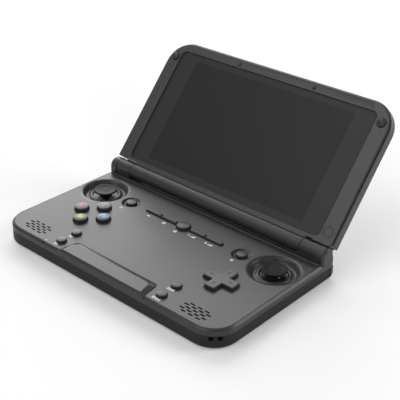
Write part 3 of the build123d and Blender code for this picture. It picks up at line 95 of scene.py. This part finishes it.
# Outlines of the solid marks on the deck, in mm from their middle
ARROW = ((-1.1, 0), (-0.2, 0.8), (-0.2, 0.3), (1.1, 0.3), (1.1, -0.3), (-0.2, -0.3), (-0.2, -0.8))
ARM, HALF = 0.75, 0.24
PLUS = (
    (ARM, HALF), (HALF, HALF), (HALF, ARM), (-HALF, ARM), (-HALF, HALF), (-ARM, HALF),
    (-ARM, -HALF), (-HALF, -HALF), (-HALF, -ARM), (HALF, -ARM), (HALF, -HALF), (ARM, -HALF),
)
RING_RADIUS = 0.8
MINUS_HALF = 0.5
# Middles of the marks in front of the centre keys, in mm: across the deck, and the distance from the keys
ARROW_X, RING_X, POWER_X, MINUS_X, PLUS_X = -22.4, -10.7, -0.4, 7.6, 19.3
MARK_DROP, POWER_DROP = 4.1, 6.4
# Power mark: where its broken ring starts and stops, in degrees, and its upright stroke
POWER_RING = (140, 400)
POWER_STROKE = (0.25, 1.1)
# Rising strokes beside minus and plus, in mm from the mark: first place, pitch, foot, first top, and rise
STAIR_START, STAIR_PITCH, STAIR_FOOT, STAIR_TOP, STAIR_RISE = 1.7, 0.75, -0.7, -0.4, 0.35
# Dot behind the status light: distance and radius
DOT_DROP, DOT_RADIUS = 1.2, 0.4
STROKE_PITCH = 0.9
# Rows of strokes in front of a button, in mm: button, shift to the right, distance in front, heights
STROKE_ROWS = (
    ("stick_side_button_left", 0, 7.9, (1.3, 1.3)),
    ("stick_side_button_right", 0, 7.9, (1.3, 1.3)),
    ("small_button_left_upper", -0.4, 3.8, (1.2, 0.8, 1.2)),
    ("small_button_left_lower", -0.3, 3.7, (1.2, 1.2, 0.8)),
    ("small_button_right_upper", -0.4, 3.8, (1.3, 0.9, 1.3, 0.9, 1.3)),
    ("small_button_right_lower", -0.3, 3.7, (1.3, 1.3, 0.9, 1.3, 0.9, 1.3)),
)
# Bars on a face button: side, half height in mm, width in strokes, and the place of each bar in mm
BUTTON_BARS = (
    ("upper", 1.4, 2.0, (0,)),
    ("left", 1.4, 2.0, (-0.7, 0.7)),
    ("lower", 1.2, 1.5, (-1.15, 0, 1.15)),
    ("right", 1.2, 1.5, (-1.5, -0.5, 0.5, 1.5)),
)

# Lamps: name, width of the lamp, direction from +Y towards +X and height over the floor, all in degrees
LAMPS = (
    ("key", 52, -48, 26),
    ("rim", 26, 40, 29),
    ("front", 44, -162, 50),
    ("left", 34, -100, 58),
    ("side", 28, 114, 27),
)
FLOOR_RADIUS = 12.0
# Sines of the heights between which the backdrop dims from white to the even light
BAND_START, BAND_STOP = 0.1, 0.35
CAMERA_PLACE = (0.28877, -0.32244, 0.25776)
CAMERA_TURN = (61.5525, -0.7623, 42.0852)
SENSOR_WIDTH = 36


def linear(hex_code):
    """Turns an sRGB hex colour into the linear red, green and blue that Blender works in."""
    parts = [int(hex_code[i:i + 2], 16) / 255 for i in (1, 3, 5)]
    return tuple(c / 12.92 if c <= 0.04045 else ((c + 0.055) / 1.055) ** 2.4 for c in parts)


def colour(hex_code, name, description):
    return FloatVectorProperty(
        name=name, description=description, subtype="COLOR", size=3, min=0, max=1, default=linear(hex_code)
    )


def length(value, name, description):
    return FloatProperty(name=name, description=description, default=value, min=0, unit="LENGTH", precision=5)


def amount(value, name, description, low=0):
    return FloatProperty(name=name, description=description, default=value, min=low)


class CaseColours(bpy.types.PropertyGroup):
    shell: colour("#343434", "Shell", "Charcoal of the moulded case and lid")
    shaded_tray: colour("#272727", "Bottom tray", "Darker matt charcoal of the lower case half")
    # Painted shade: a darker copy of the shell's charcoal, for the lower case half whose walls stand in shade
    bezel: colour("#3B3B3B", "Bezel", "Smooth charcoal of the frame round the screen")
    keys: colour("#363636", "Keys", "Charcoal of the buttons, keys and pad")
    rubber: colour("#1D1D1D", "Rubber", "Dark rubber of the stick caps and feet")
    grain: length(0.00022, "Texture grain", "Size of the spark-eroded texture of the shell")
    edge: length(0.00032, "Edge round", "Radius that catches the light along moulded edges")


class ScreenSizes(bpy.types.PropertyGroup):
    lit_width: length(0.1107, "Lit width", "Width of the lit area of the panel")
    lit_height: length(0.0631, "Lit height", "Height of the lit area of the panel")
    lit_middle: length(0.04226, "Lit middle", "Distance from the hinge axis to the middle of the lit area")
    lit_shift: FloatProperty(
        name="Lit shift", description="Offset of the lit area to the left", default=0.00035, unit="LENGTH"
    )
    corner: length(0.0008, "Lit corner", "Corner radius of the printed window")
    border: colour("#3D3D3D", "Border print", "Dark print behind the glass round the lit area")
    panel: colour("#333333", "Panel", "Panel with its light off")


class PrintSettings(bpy.types.PropertyGroup):
    legend: colour("#FAFAFA", "Legend ink", "White ink of the marks on the deck")
    left_ink: colour("#D8434F", "Left button ink", "Ink on the left face button")
    upper_ink: colour("#3FAE4D", "Upper button ink", "Ink on the upper face button")
    lower_ink: colour("#E8DC4A", "Lower button ink", "Ink on the lower face button")
    right_ink: colour("#4AAFE0", "Right button ink", "Ink on the right face button")
    stroke: length(0.00048, "Stroke", "Width of the printed strokes")
    film: length(0.00002, "Ink film", "Thickness of the printed ink")


class StudioSettings(bpy.types.PropertyGroup):
    key_lamp: amount(2.45, "Key lamp", "Strength of the broad lamp behind on the left")
    rim_lamp: amount(0.95, "Rim lamp", "Strength of the lamp behind on the right")
    front_lamp: amount(0.85, "Front lamp", "Strength of the soft lamp in front on the left")
    side_lamp: amount(0.35, "Side lamp", "Strength of the small lamp on the right")
    left_lamp: amount(0.45, "Left lamp", "Strength of the high lamp on the left")
    fill: amount(0.18, "Fill", "Strength of the even light all round")
    floor_lift: amount(0.17, "Floor lift", "How much the floor is brightened for the camera")
    focal: amount(82.97, "Lens", "Focal length of the camera in mm", 1)


def add(tree, kind, values=None, **settings):
    """Adds one node: settings are its own options, values are its sockets, each a value or a link."""
    node = tree.nodes.new(kind)
    for key, value in settings.items():
        setattr(node, key, value)
    for key, value in (values or {}).items():
        if isinstance(value, bpy.types.NodeSocket):
            tree.links.new(value, node.inputs[key])
        else:
            node.inputs[key].default_value = value
    return node


def calc(tree, operation, *values):
    """One step of arithmetic on numbers and links."""
    return add(tree, "ShaderNodeMath", dict(enumerate(values)), operation=operation).outputs[0]


def ranged(tree, value, low, high, start=0.0, stop=1.0):
    """Carries a value from one range, start to stop, to another, low to high, and holds it at the ends."""
    values = {"Value": value, "From Min": start, "From Max": stop, "To Min": low, "To Max": high}
    return add(tree, "ShaderNodeMapRange", values).outputs[0]


def noise(tree, place, size, detail=2.0):
    """Even noise whose clouds are about as large as the given size in metres."""
    values = {"Vector": place, "Scale": 1 / size, "Detail": detail}
    return add(tree, "ShaderNodeTexNoise", values).outputs["Fac"]


def blend(tree, factor, first, second):
    """A colour between two."""
    values = {"Factor": factor, "A": (*first, 1), "B": (*second, 1)}
    return add(tree, "ShaderNodeMix", values, data_type="RGBA").outputs["Result"]


def seen_rays(tree):
    """1 for rays that the camera, a reflection or clear glass sends out, and 0 for the rest."""
    rays = add(tree, "ShaderNodeLightPath")
    seen = rays.outputs["Is Camera Ray"]
    for kind in ("Is Glossy Ray", "Is Transmission Ray"):
        seen = calc(tree, "MAXIMUM", seen, rays.outputs[kind])
    return seen


def new_material(name):
    """An empty material, its node tree and the socket that gives places in the part's own frame."""
    made = bpy.data.materials.new(name)
    made.use_nodes = True
    made.node_tree.nodes.clear()
    return made, made.node_tree, add(made.node_tree, "ShaderNodeTexCoord").outputs["Object"]


def output(tree, shader):
    add(tree, "ShaderNodeOutputMaterial", {"Surface": shader.outputs[0]})


def moulded(name, tints, kind, rough, depth, ior=1.5, gloss=0.3):
    """Injection-moulded plastic or rubber: a cloud of slightly uneven tint and a fine moulded texture."""
    made, tree, place = new_material(name)
    tint = getattr(tints, kind)
    cloud = noise(tree, place, CLOUD_SIZE, 3.0)
    dark = tuple(c * (1 - TINT_SPREAD) for c in tint)
    light = tuple(min(c * (1 + TINT_SPREAD), 1) for c in tint)
    rounded = add(tree, "ShaderNodeBevel", {"Radius": tints.edge}, samples=4)
    bump = add(
        tree, "ShaderNodeBump",
        {"Height": noise(tree, place, tints.grain), "Distance": depth, "Strength": TEXTURE_STRENGTH,
         "Normal": rounded.outputs[0]},
    )
    shader = add(
        tree, "ShaderNodeBsdfPrincipled",
        {"Base Color": blend(tree, cloud, dark, light),
         "Roughness": ranged(tree, cloud, rough - POLISH_SPREAD, rough + POLISH_SPREAD),
         "IOR": ior, "Specular IOR Level": gloss, "Normal": bump.outputs[0]},
    )
    output(tree, shader)
    return made


def plain(name, tint, rough, metallic=0.0, ior=1.5):
    """Pieces inside or behind, and inks: one tint whose gloss varies at a fine grain."""
    made, tree, place = new_material(name)
    texture = noise(tree, place, PLAIN_GRAIN)
    values = {
        "Base Color": blend(tree, texture, [c * PLAIN_SHADE for c in tint], tint),
        "Roughness": ranged(tree, texture, rough * PLAIN_POLISH[0], min(rough * PLAIN_POLISH[1], 1)),
        "Metallic": metallic,
    }
    if not metallic:
        values["IOR"] = ior
    output(tree, add(tree, "ShaderNodeBsdfPrincipled", values))
    return made


def dress(finish, *nodes):
    """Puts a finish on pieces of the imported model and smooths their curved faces."""
    for node in nodes:
        mesh = frame["nodes"][node].data
        mesh.materials.clear()
        mesh.materials.append(finish)
        mesh.shade_smooth()
        if not mesh.has_custom_normals:
            mesh.set_sharp_from_angle(angle=SHARP_ANGLE)


def placed(name, mesh_tool, finish):
    """Makes an object of the shape so far and puts it in the scene."""
    mesh = bpy.data.meshes.new(name)
    mesh_tool.to_mesh(mesh)
    mesh_tool.free()
    mesh.materials.append(finish)
    piece = bpy.data.objects.new(name, mesh)
    bpy.context.scene.collection.objects.link(piece)
    return piece


def new_piece(name, mesh_tool, finish, body):
    """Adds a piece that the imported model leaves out, on the body that carries it."""
    bmesh.ops.remove_doubles(mesh_tool, verts=mesh_tool.verts, dist=WELD_DISTANCE)
    bmesh.ops.recalc_face_normals(mesh_tool, faces=mesh_tool.faces)
    piece = placed(name, mesh_tool, finish)
    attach(piece, body)


def slab(tool, outline, low, high, holes=()):
    """A flat plate between two heights, from an outline and the outlines of its holes."""
    edges = []
    for loop in (outline, *holes):
        verts = [tool.verts.new((x, y, low)) for x, y in loop]
        edges += [tool.edges.new((verts[i], verts[(i + 1) % len(verts)])) for i in range(len(verts))]
    made = bmesh.ops.triangle_fill(tool, edges=edges, use_beauty=True)
    faces = [g for g in made["geom"] if isinstance(g, bmesh.types.BMFace)]
    if high != low:
        raised = bmesh.ops.extrude_face_region(tool, geom=faces)
        for vert in (g for g in raised["geom"] if isinstance(g, bmesh.types.BMVert)):
            vert.co.z = high


def arc(x, y, radius, start, sweep, count):
    """Points along part of a circle, with both of its ends."""
    turns = [start + sweep * i / count for i in range(count + 1)]
    return [(x + radius * math.cos(t), y + radius * math.sin(t)) for t in turns]


def round_outline(x, y, radius, count=20):
    """A full circle."""
    return arc(x, y, radius, 0, 2 * math.pi, count)[:-1]


def bar_outline(x0, y0, x1, y1, width, count=6):
    """A stroke with round ends."""
    lean = math.atan2(y1 - y0, x1 - x0)
    return [
        *arc(x1, y1, width / 2, lean - math.pi / 2, math.pi, count),
        *arc(x0, y0, width / 2, lean + math.pi / 2, math.pi, count),
    ]


def box_outline(x0, x1, y0, y1, radius, count=6):
    """A rectangle with round corners, from the corner at x1, y1."""
    corners = (
        (x1 - radius, y1 - radius), (x0 + radius, y1 - radius),
        (x0 + radius, y0 + radius), (x1 - radius, y0 + radius),
    )
    points = []
    for quarter, (cx, cy) in enumerate(corners):
        points += arc(cx, cy, radius, math.radians(90 * quarter), math.pi / 2, count)
    return points


def arc_outline(x, y, radius, width, start, stop, count=16):
    """Part of a ring: out along its outer edge and back along its inner edge."""
    start, sweep = math.radians(start), math.radians(stop - start)
    outer = arc(x, y, radius + width / 2, start, sweep, count)
    inner = arc(x, y, radius - width / 2, start, sweep, count)
    return outer + inner[::-1]


def drape(tool, node, film):
    """Lays a thin print on the top of a piece: its lower side goes just under the surface."""
    bmesh.ops.subdivide_edges(tool, edges=tool.edges[:], cuts=4, use_grid_fill=True)
    piece = frame["nodes"][node]
    for vert in tool.verts:
        hit, spot, _, _ = piece.ray_cast((vert.co.x, vert.co.y, 1.0), (0, 0, -1))
        if not hit:
            raise RuntimeError(f"print misses {node}")
        vert.co.z = spot.z + (film if vert.co.z > film / 2 else -film)


def node_middle(node):
    low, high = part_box(node)
    return (low + high) / 2


class HANDHELD_OT_shell(bpy.types.Operator):
    """Finish the two case halves, the lid cover, the bezel and the front plate"""

    bl_idname = "handheld.shell"
    bl_label = "Shell"

    def execute(self, context):
        tints = context.scene.handheld_case
        # Moulded ABS with a spark-eroded texture: satin, with a soft sheen at a low angle
        shell = moulded("Moulded_ABS_Spark_Texture", tints, "shell", 0.36, SPARK_DEPTH, gloss=0.37)
        dress(shell, "deck_case", "lid_cover", "front_plate")
        # Painted shade: the same ABS as the shell in a darker copy, rougher and with little sheen, so that
        # the walls of the lower case half look shaded
        shaded_tray = moulded("Moulded_ABS_Matt_Texture", tints, "shaded_tray", 0.55, SPARK_DEPTH, gloss=0.2)
        dress(shaded_tray, "bottom_case")
        # The cover's lower edge folds under beside the barrel, where it hides the gap behind the knuckles
        for side, start in LIP_STARTS:
            tool = bmesh.new()
            slab(tool, box_outline(*LIP_UP, *LIP_OUT, LIP_ROUND), start, start + LIP_LENGTH)
            for vert in tool.verts:
                up, out, along = vert.co
                vert.co = HINGE + LID_UP * up + LID_OUT * out + Vector((along, 0, 0))
            new_piece(f"cover_lip_{side}", tool, shell, "lid")
        # Moulded ABS from a polished tool: smoother than the shell, with a clearer shine
        satin = moulded("Moulded_ABS_Satin", tints, "bezel", 0.34, POLISHED_DEPTH, gloss=0.5)
        dress(satin, "lid_bezel", "screw_covers")
        return {"FINISHED"}


class HANDHELD_OT_controls(bpy.types.Operator):
    """Finish the buttons, keys, pad, sticks and shoulder buttons"""

    bl_idname = "handheld.controls"
    bl_label = "Controls"

    def execute(self, context):
        tints = context.scene.handheld_case
        # Moulded ABS keys: satin, slightly polished by fingers
        keys = moulded("Moulded_ABS_Keys", tints, "keys", 0.34, POLISHED_DEPTH, gloss=0.37)
        dress(keys, *(
            node for node in frame["nodes"]
            if "button" in node or node.startswith("centre_key") or node == "directional_pad"
        ))
        # Silicone rubber caps and feet: dark and even, with a soft broad shine
        rubber = moulded("Moulded_Silicone_Rubber", tints, "rubber", 0.5, POLISHED_DEPTH, 1.43, 0.15)
        dress(rubber, "stick_cap_left", "stick_cap_right", "rubber_feet")
        # Thermoplastic bumpers: the same charcoal as the shell, with a soft shine
        bumper = moulded("Moulded_Soft_Elastomer", tints, "shell", 0.36, POLISHED_DEPTH)
        dress(bumper, "lid_bumpers", "lid_nubs")
        # Acetal parts under the caps and keys: dark, waxy and smooth
        acetal = plain("Moulded_Acetal", linear("#1E1E20"), 0.35, ior=1.48)
        for side in ("left", "right"):
            dress(acetal, *(f"stick_{part}_{side}" for part in ("shaft", "yoke", "housing", "ring")))
        dress(acetal, "pad_rocker", "shoulder_switches")
        return {"FINISHED"}


class HANDHELD_OT_screen(bpy.types.Operator):
    """Finish the cover glass with its printed border, and the panel behind it"""

    bl_idname = "handheld.screen"
    bl_label = "Screen"

    def execute(self, context):
        sizes = context.scene.handheld_screen
        # Toughened cover glass bonded to the unlit panel: dark and glossy, with a screen-printed border
        # behind it that is a touch lighter, and an anti-glare etch that softens what it reflects
        glass, tree, place = new_material("Bonded_Cover_Glass")

        def beyond(direction, middle, half):
            """How far a point lies outside a span of the lit window, less its corner radius."""
            along = add(tree, "ShaderNodeVectorMath", {0: place, 1: direction}, operation="DOT_PRODUCT")
            away = calc(tree, "SUBTRACT", along.outputs["Value"], middle)
            outside = calc(tree, "SUBTRACT", calc(tree, "ABSOLUTE", away), half - sizes.corner)
            return calc(tree, "MAXIMUM", outside, 0.0)

        across = beyond((1, 0, 0), -sizes.lit_shift, sizes.lit_width / 2)
        upward = beyond(LID_UP, LID_UP.dot(HINGE) + sizes.lit_middle, sizes.lit_height / 2)
        corner = add(tree, "ShaderNodeCombineXYZ", {"X": across, "Y": upward})
        away = add(tree, "ShaderNodeVectorMath", {0: corner.outputs[0]}, operation="LENGTH").outputs["Value"]
        border = ranged(tree, away, 0.0, 1.0, sizes.corner, sizes.corner + 0.1 * MM)
        pane = add(
            tree, "ShaderNodeBsdfPrincipled",
            {"Base Color": blend(tree, border, sizes.panel, sizes.border),
             "Roughness": ranged(tree, noise(tree, place, ETCH_SIZE), *ETCH_ROUGHNESS),
             "IOR": 1.5, "Specular IOR Level": GLASS_GLOSS},
        )
        output(tree, pane)
        dress(glass, "screen_glass")
        # Liquid crystal panel with its light off: near black behind its polariser
        dress(plain("Polariser_Film", sizes.panel, 0.35), "display_panel")
        return {"FINISHED"}


class HANDHELD_OT_inner(bpy.types.Operator):
    """Finish the board, battery, speakers, sockets, hinge parts and screws"""

    bl_idname = "handheld.inner"
    bl_label = "Inner pieces"

    def execute(self, context):
        # Material: tint, roughness, metallic, and the pieces that wear it
        finishes = {
            # Glass-epoxy board under green solder mask: smooth, slightly glossy
            "Solder_Mask": ("#1C4A2C", 0.35, 0.0, ("main_board",)),
            # Printed foil wrap of the battery: dull silver
            "Battery_Foil": ("#9A9B9E", 0.4, 1.0, ("battery_pack",)),
            # Polyester speaker frames and their black cloth, tinted near black: partly their own colour,
            # partly painted shade inside the grille slots over them
            "Speaker_Frame": ("#070707", 0.9, 0.0, ("speaker_left", "speaker_right")),
            # Silicone sheets under the keys: matt grey
            "Silicone_Sheet": ("#8D8F93", 0.7, 0.0, ("membrane_left", "membrane_right", "membrane_centre")),
            # Stamped and plated steel shells: bright, with a soft gloss
            "Plated_Steel": ("#B9BABD", 0.3, 1.0, ("usb_socket", "hdmi_socket", "card_slot")),
            # Nylon body of the round socket: black and satin
            "Moulded_Nylon": ("#161617", 0.5, 0.0, ("headphone_jack",)),
            # Turned steel pins and screws: plain grey metal
            "Turned_Steel": ("#8A8B8E", 0.32, 1.0, ("hinge_shafts", "case_screws", "lid_screws")),
            # Turned brass sleeves: warm yellow metal
            "Turned_Brass": ("#C09A55", 0.3, 1.0, ("hinge_sleeves",)),
            # Smoked acrylic of the light pipe: dark while its light is off, with a small sharp glint
            "Moulded_Acrylic": ("#0D0D0D", 0.2, 0.0, ("status_light",)),
            # Film of the flat cable: amber and smooth
            "Polyimide_Film": ("#7A4A1E", 0.35, 0.0, ("display_cable",)),
        }
        for name, (tint, rough, metallic, nodes) in finishes.items():
            dress(plain(name, linear(tint), rough, metallic), *nodes)
        return {"FINISHED"}


class HANDHELD_OT_legends(bpy.types.Operator):
    """Print the marks beside the keys and on the face buttons"""

    bl_idname = "handheld.legends"
    bl_label = "Printed marks"

    def execute(self, context):
        prints = context.scene.handheld_print
        self.print_deck(prints.stroke, prints.film, plain("Pad_Printed_White_Ink", prints.legend, 0.5))
        # One to four bars on the face buttons, each button in its own colour
        for side, tall, strokes, places in BUTTON_BARS:
            node = f"face_button_{side}"
            middle = node_middle(node)
            # Coloured ink: a thin even film, a little glossier than the white
            made = plain(f"Pad_Printed_Ink_{side.title()}", getattr(prints, f"{side}_ink"), 0.45)
            tool = bmesh.new()
            for shift in places:
                x, low, high = middle.x + shift * MM, middle.y - tall * MM, middle.y + tall * MM
                slab(tool, bar_outline(x, low, x, high, strokes * prints.stroke), 0, prints.film)
            drape(tool, node, prints.film)
            new_piece(f"button_mark_{side}", tool, made, node)
        return {"FINISHED"}

    def print_deck(self, wide, film, ink):
        """Prints every mark that lies on the deck, as one piece of white ink: a thin matt film."""
        tool = bmesh.new()

        def lay(shape, holes=()):
            slab(tool, shape, DECK_TOP, DECK_TOP + film, holes)

        def bar(x0, y0, x1, y1):
            lay(bar_outline(x0 * MM, y0 * MM, x1 * MM, y1 * MM, wide))

        def polygon(x, y, points):
            lay([((x + dx) * MM, (y + dy) * MM) for dx, dy in points])

        key_y = node_middle("centre_key_left_inner").y / MM
        line_y = key_y - MARK_DROP
        # Return arrow under the outer left key
        polygon(ARROW_X, line_y, ARROW)
        # Ring under the inner left key
        outer, inner = (
            round_outline(RING_X * MM, line_y * MM, RING_RADIUS * MM + step) for step in (wide / 2, -wide / 2)
        )
        lay(outer, [inner])
        # Broken ring with a stroke under the round power button
        low_y = key_y - POWER_DROP
        lay(arc_outline(POWER_X * MM, low_y * MM, RING_RADIUS * MM, wide, *POWER_RING))
        bar(POWER_X, low_y + POWER_STROKE[0], POWER_X, low_y + POWER_STROKE[1])
        # Minus and plus under the right keys, each beside four rising strokes
        bar(MINUS_X - MINUS_HALF, line_y, MINUS_X + MINUS_HALF, line_y)
        self.print_stairs(bar, MINUS_X, line_y)
        polygon(PLUS_X, line_y, PLUS)
        self.print_stairs(bar, PLUS_X, line_y)
        # Rows of upright strokes in front of the side buttons and the small buttons
        for node, shift, drop, heights in STROKE_ROWS:
            spot = node_middle(node)
            y = spot.y / MM - drop
            first = spot.x / MM + shift - STROKE_PITCH * (len(heights) - 1) / 2
            for step, tall in enumerate(heights):
                x = first + STROKE_PITCH * step
                bar(x, y - tall / 2, x, y + tall / 2)
        # Small dot behind the status light
        light = node_middle("status_light")
        lay(round_outline(light.x, light.y + DOT_DROP * MM, DOT_RADIUS * MM))
        new_piece("deck_legends", tool, ink, "base")

    @staticmethod
    def print_stairs(bar, x, y):
        """Four strokes that stand on one line and rise to the right."""
        for step in range(4):
            place = x + STAIR_START + STAIR_PITCH * step
            bar(place, y + STAIR_FOOT, place, y + STAIR_TOP + STAIR_RISE * step)


class HANDHELD_OT_studio(bpy.types.Operator):
    """Lay the white floor, set the soft lamps and place the camera"""

    bl_idname = "handheld.studio"
    bl_label = "Studio"

    def execute(self, context):
        scene = context.scene
        studio = scene.handheld_studio
        scene.view_settings.view_transform = "Standard"
        self.lay_floor(studio)
        self.fill_air(scene, studio)
        for name, spread, azimuth, elevation in LAMPS:
            lamp = bpy.data.lights.new(f"{name}_softbox", "SUN")
            lamp.energy = getattr(studio, f"{name}_lamp")
            lamp.angle = math.radians(spread)
            softbox = bpy.data.objects.new(f"{name}_softbox", lamp)
            scene.collection.objects.link(softbox)
            turn, rise = math.radians(azimuth), math.radians(elevation)
            flat = math.cos(rise)
            towards = Vector((math.sin(turn) * flat, math.cos(turn) * flat, math.sin(rise)))
            softbox.rotation_euler = towards.to_track_quat("Z", "Y").to_euler()

        view = bpy.data.cameras.new("product_camera")
        view.lens = studio.focal
        view.sensor_width = SENSOR_WIDTH
        view.clip_start = 10 * MM
        camera = bpy.data.objects.new("product_camera", view)
        camera.location = CAMERA_PLACE
        camera.rotation_euler = tuple(math.radians(a) for a in CAMERA_TURN)
        scene.collection.objects.link(camera)
        scene.camera = camera
        return {"FINISHED"}

    @staticmethod
    def lay_floor(studio):
        """Lays the white sweep that the object stands on, brightened for what looks at it."""
        # White paper: matt and even, it takes the object's shadow and otherwise stays white
        paper, tree, place = new_material("White_Paper_Sweep")
        fibre = noise(tree, place, FIBRE_SIZE)
        matt = add(tree, "ShaderNodeBsdfDiffuse", {"Color": ranged(tree, fibre, *PAPER_WHITE)})
        seen = calc(tree, "MULTIPLY", seen_rays(tree), studio.floor_lift)
        lift = add(tree, "ShaderNodeEmission", {"Color": (1, 1, 1, 1), "Strength": seen})
        output(tree, add(tree, "ShaderNodeAddShader", {0: matt.outputs[0], 1: lift.outputs[0]}))
        tool = bmesh.new()
        slab(tool, round_outline(0, 0, FLOOR_RADIUS, 64), 0, 0)
        placed("paper_sweep", tool, paper)

    @staticmethod
    def fill_air(scene, studio):
        """White along the horizon, where a level view meets the backdrop, and dimmer overhead."""
        world = bpy.data.worlds.new("studio_air")
        scene.world = world
        world.use_nodes = True
        tree = world.node_tree
        tree.nodes.clear()
        heading = add(tree, "ShaderNodeTexCoord")
        height = add(tree, "ShaderNodeSeparateXYZ", {0: heading.outputs["Generated"]})
        band = ranged(tree, height.outputs["Z"], 1.0, 0.0, BAND_START, BAND_STOP)
        white = calc(tree, "MULTIPLY", band, seen_rays(tree))
        strength = ranged(tree, white, studio.fill, 1.0)
        air = add(tree, "ShaderNodeBackground", {"Color": (1, 1, 1, 1), "Strength": strength})
        add(tree, "ShaderNodeOutputWorld", {"Surface": air.outputs[0]})


class HANDHELD_PT_panel(bpy.types.Panel):
    """Lists the steps that finish the handheld"""

    bl_label = "Handheld"
    bl_idname = "HANDHELD_PT_panel"
    bl_space_type = "VIEW_3D"
    bl_region_type = "UI"
    bl_category = "Handheld"

    def draw(self, context):
        for step in STEPS:
            self.layout.operator(step.bl_idname)
        for group in GROUPS:
            settings = getattr(context.scene, GROUPS[group])
            for name in group.__annotations__:
                self.layout.prop(settings, name)


STEPS = (
    HANDHELD_OT_shell,
    HANDHELD_OT_controls,
    HANDHELD_OT_screen,
    HANDHELD_OT_inner,
    HANDHELD_OT_legends,
    HANDHELD_OT_studio,
)
GROUPS = {
    CaseColours: "handheld_case",
    ScreenSizes: "handheld_screen",
    PrintSettings: "handheld_print",
    StudioSettings: "handheld_studio",
}


def register():
    for group, name in GROUPS.items():
        bpy.utils.register_class(group)
        setattr(bpy.types.Scene, name, PointerProperty(type=group))
    for step in (*STEPS, HANDHELD_PT_panel):
        bpy.utils.register_class(step)


def unregister():
    for step in reversed((*STEPS, HANDHELD_PT_panel)):
        bpy.utils.unregister_class(step)
    for group, name in GROUPS.items():
        delattr(bpy.types.Scene, name)
        bpy.utils.unregister_class(group)


def main():
    register()
    for step in STEPS:
        area, name = step.bl_idname.split(".")
        getattr(getattr(bpy.ops, area), name)()


if __name__ == "__main__":
    main()
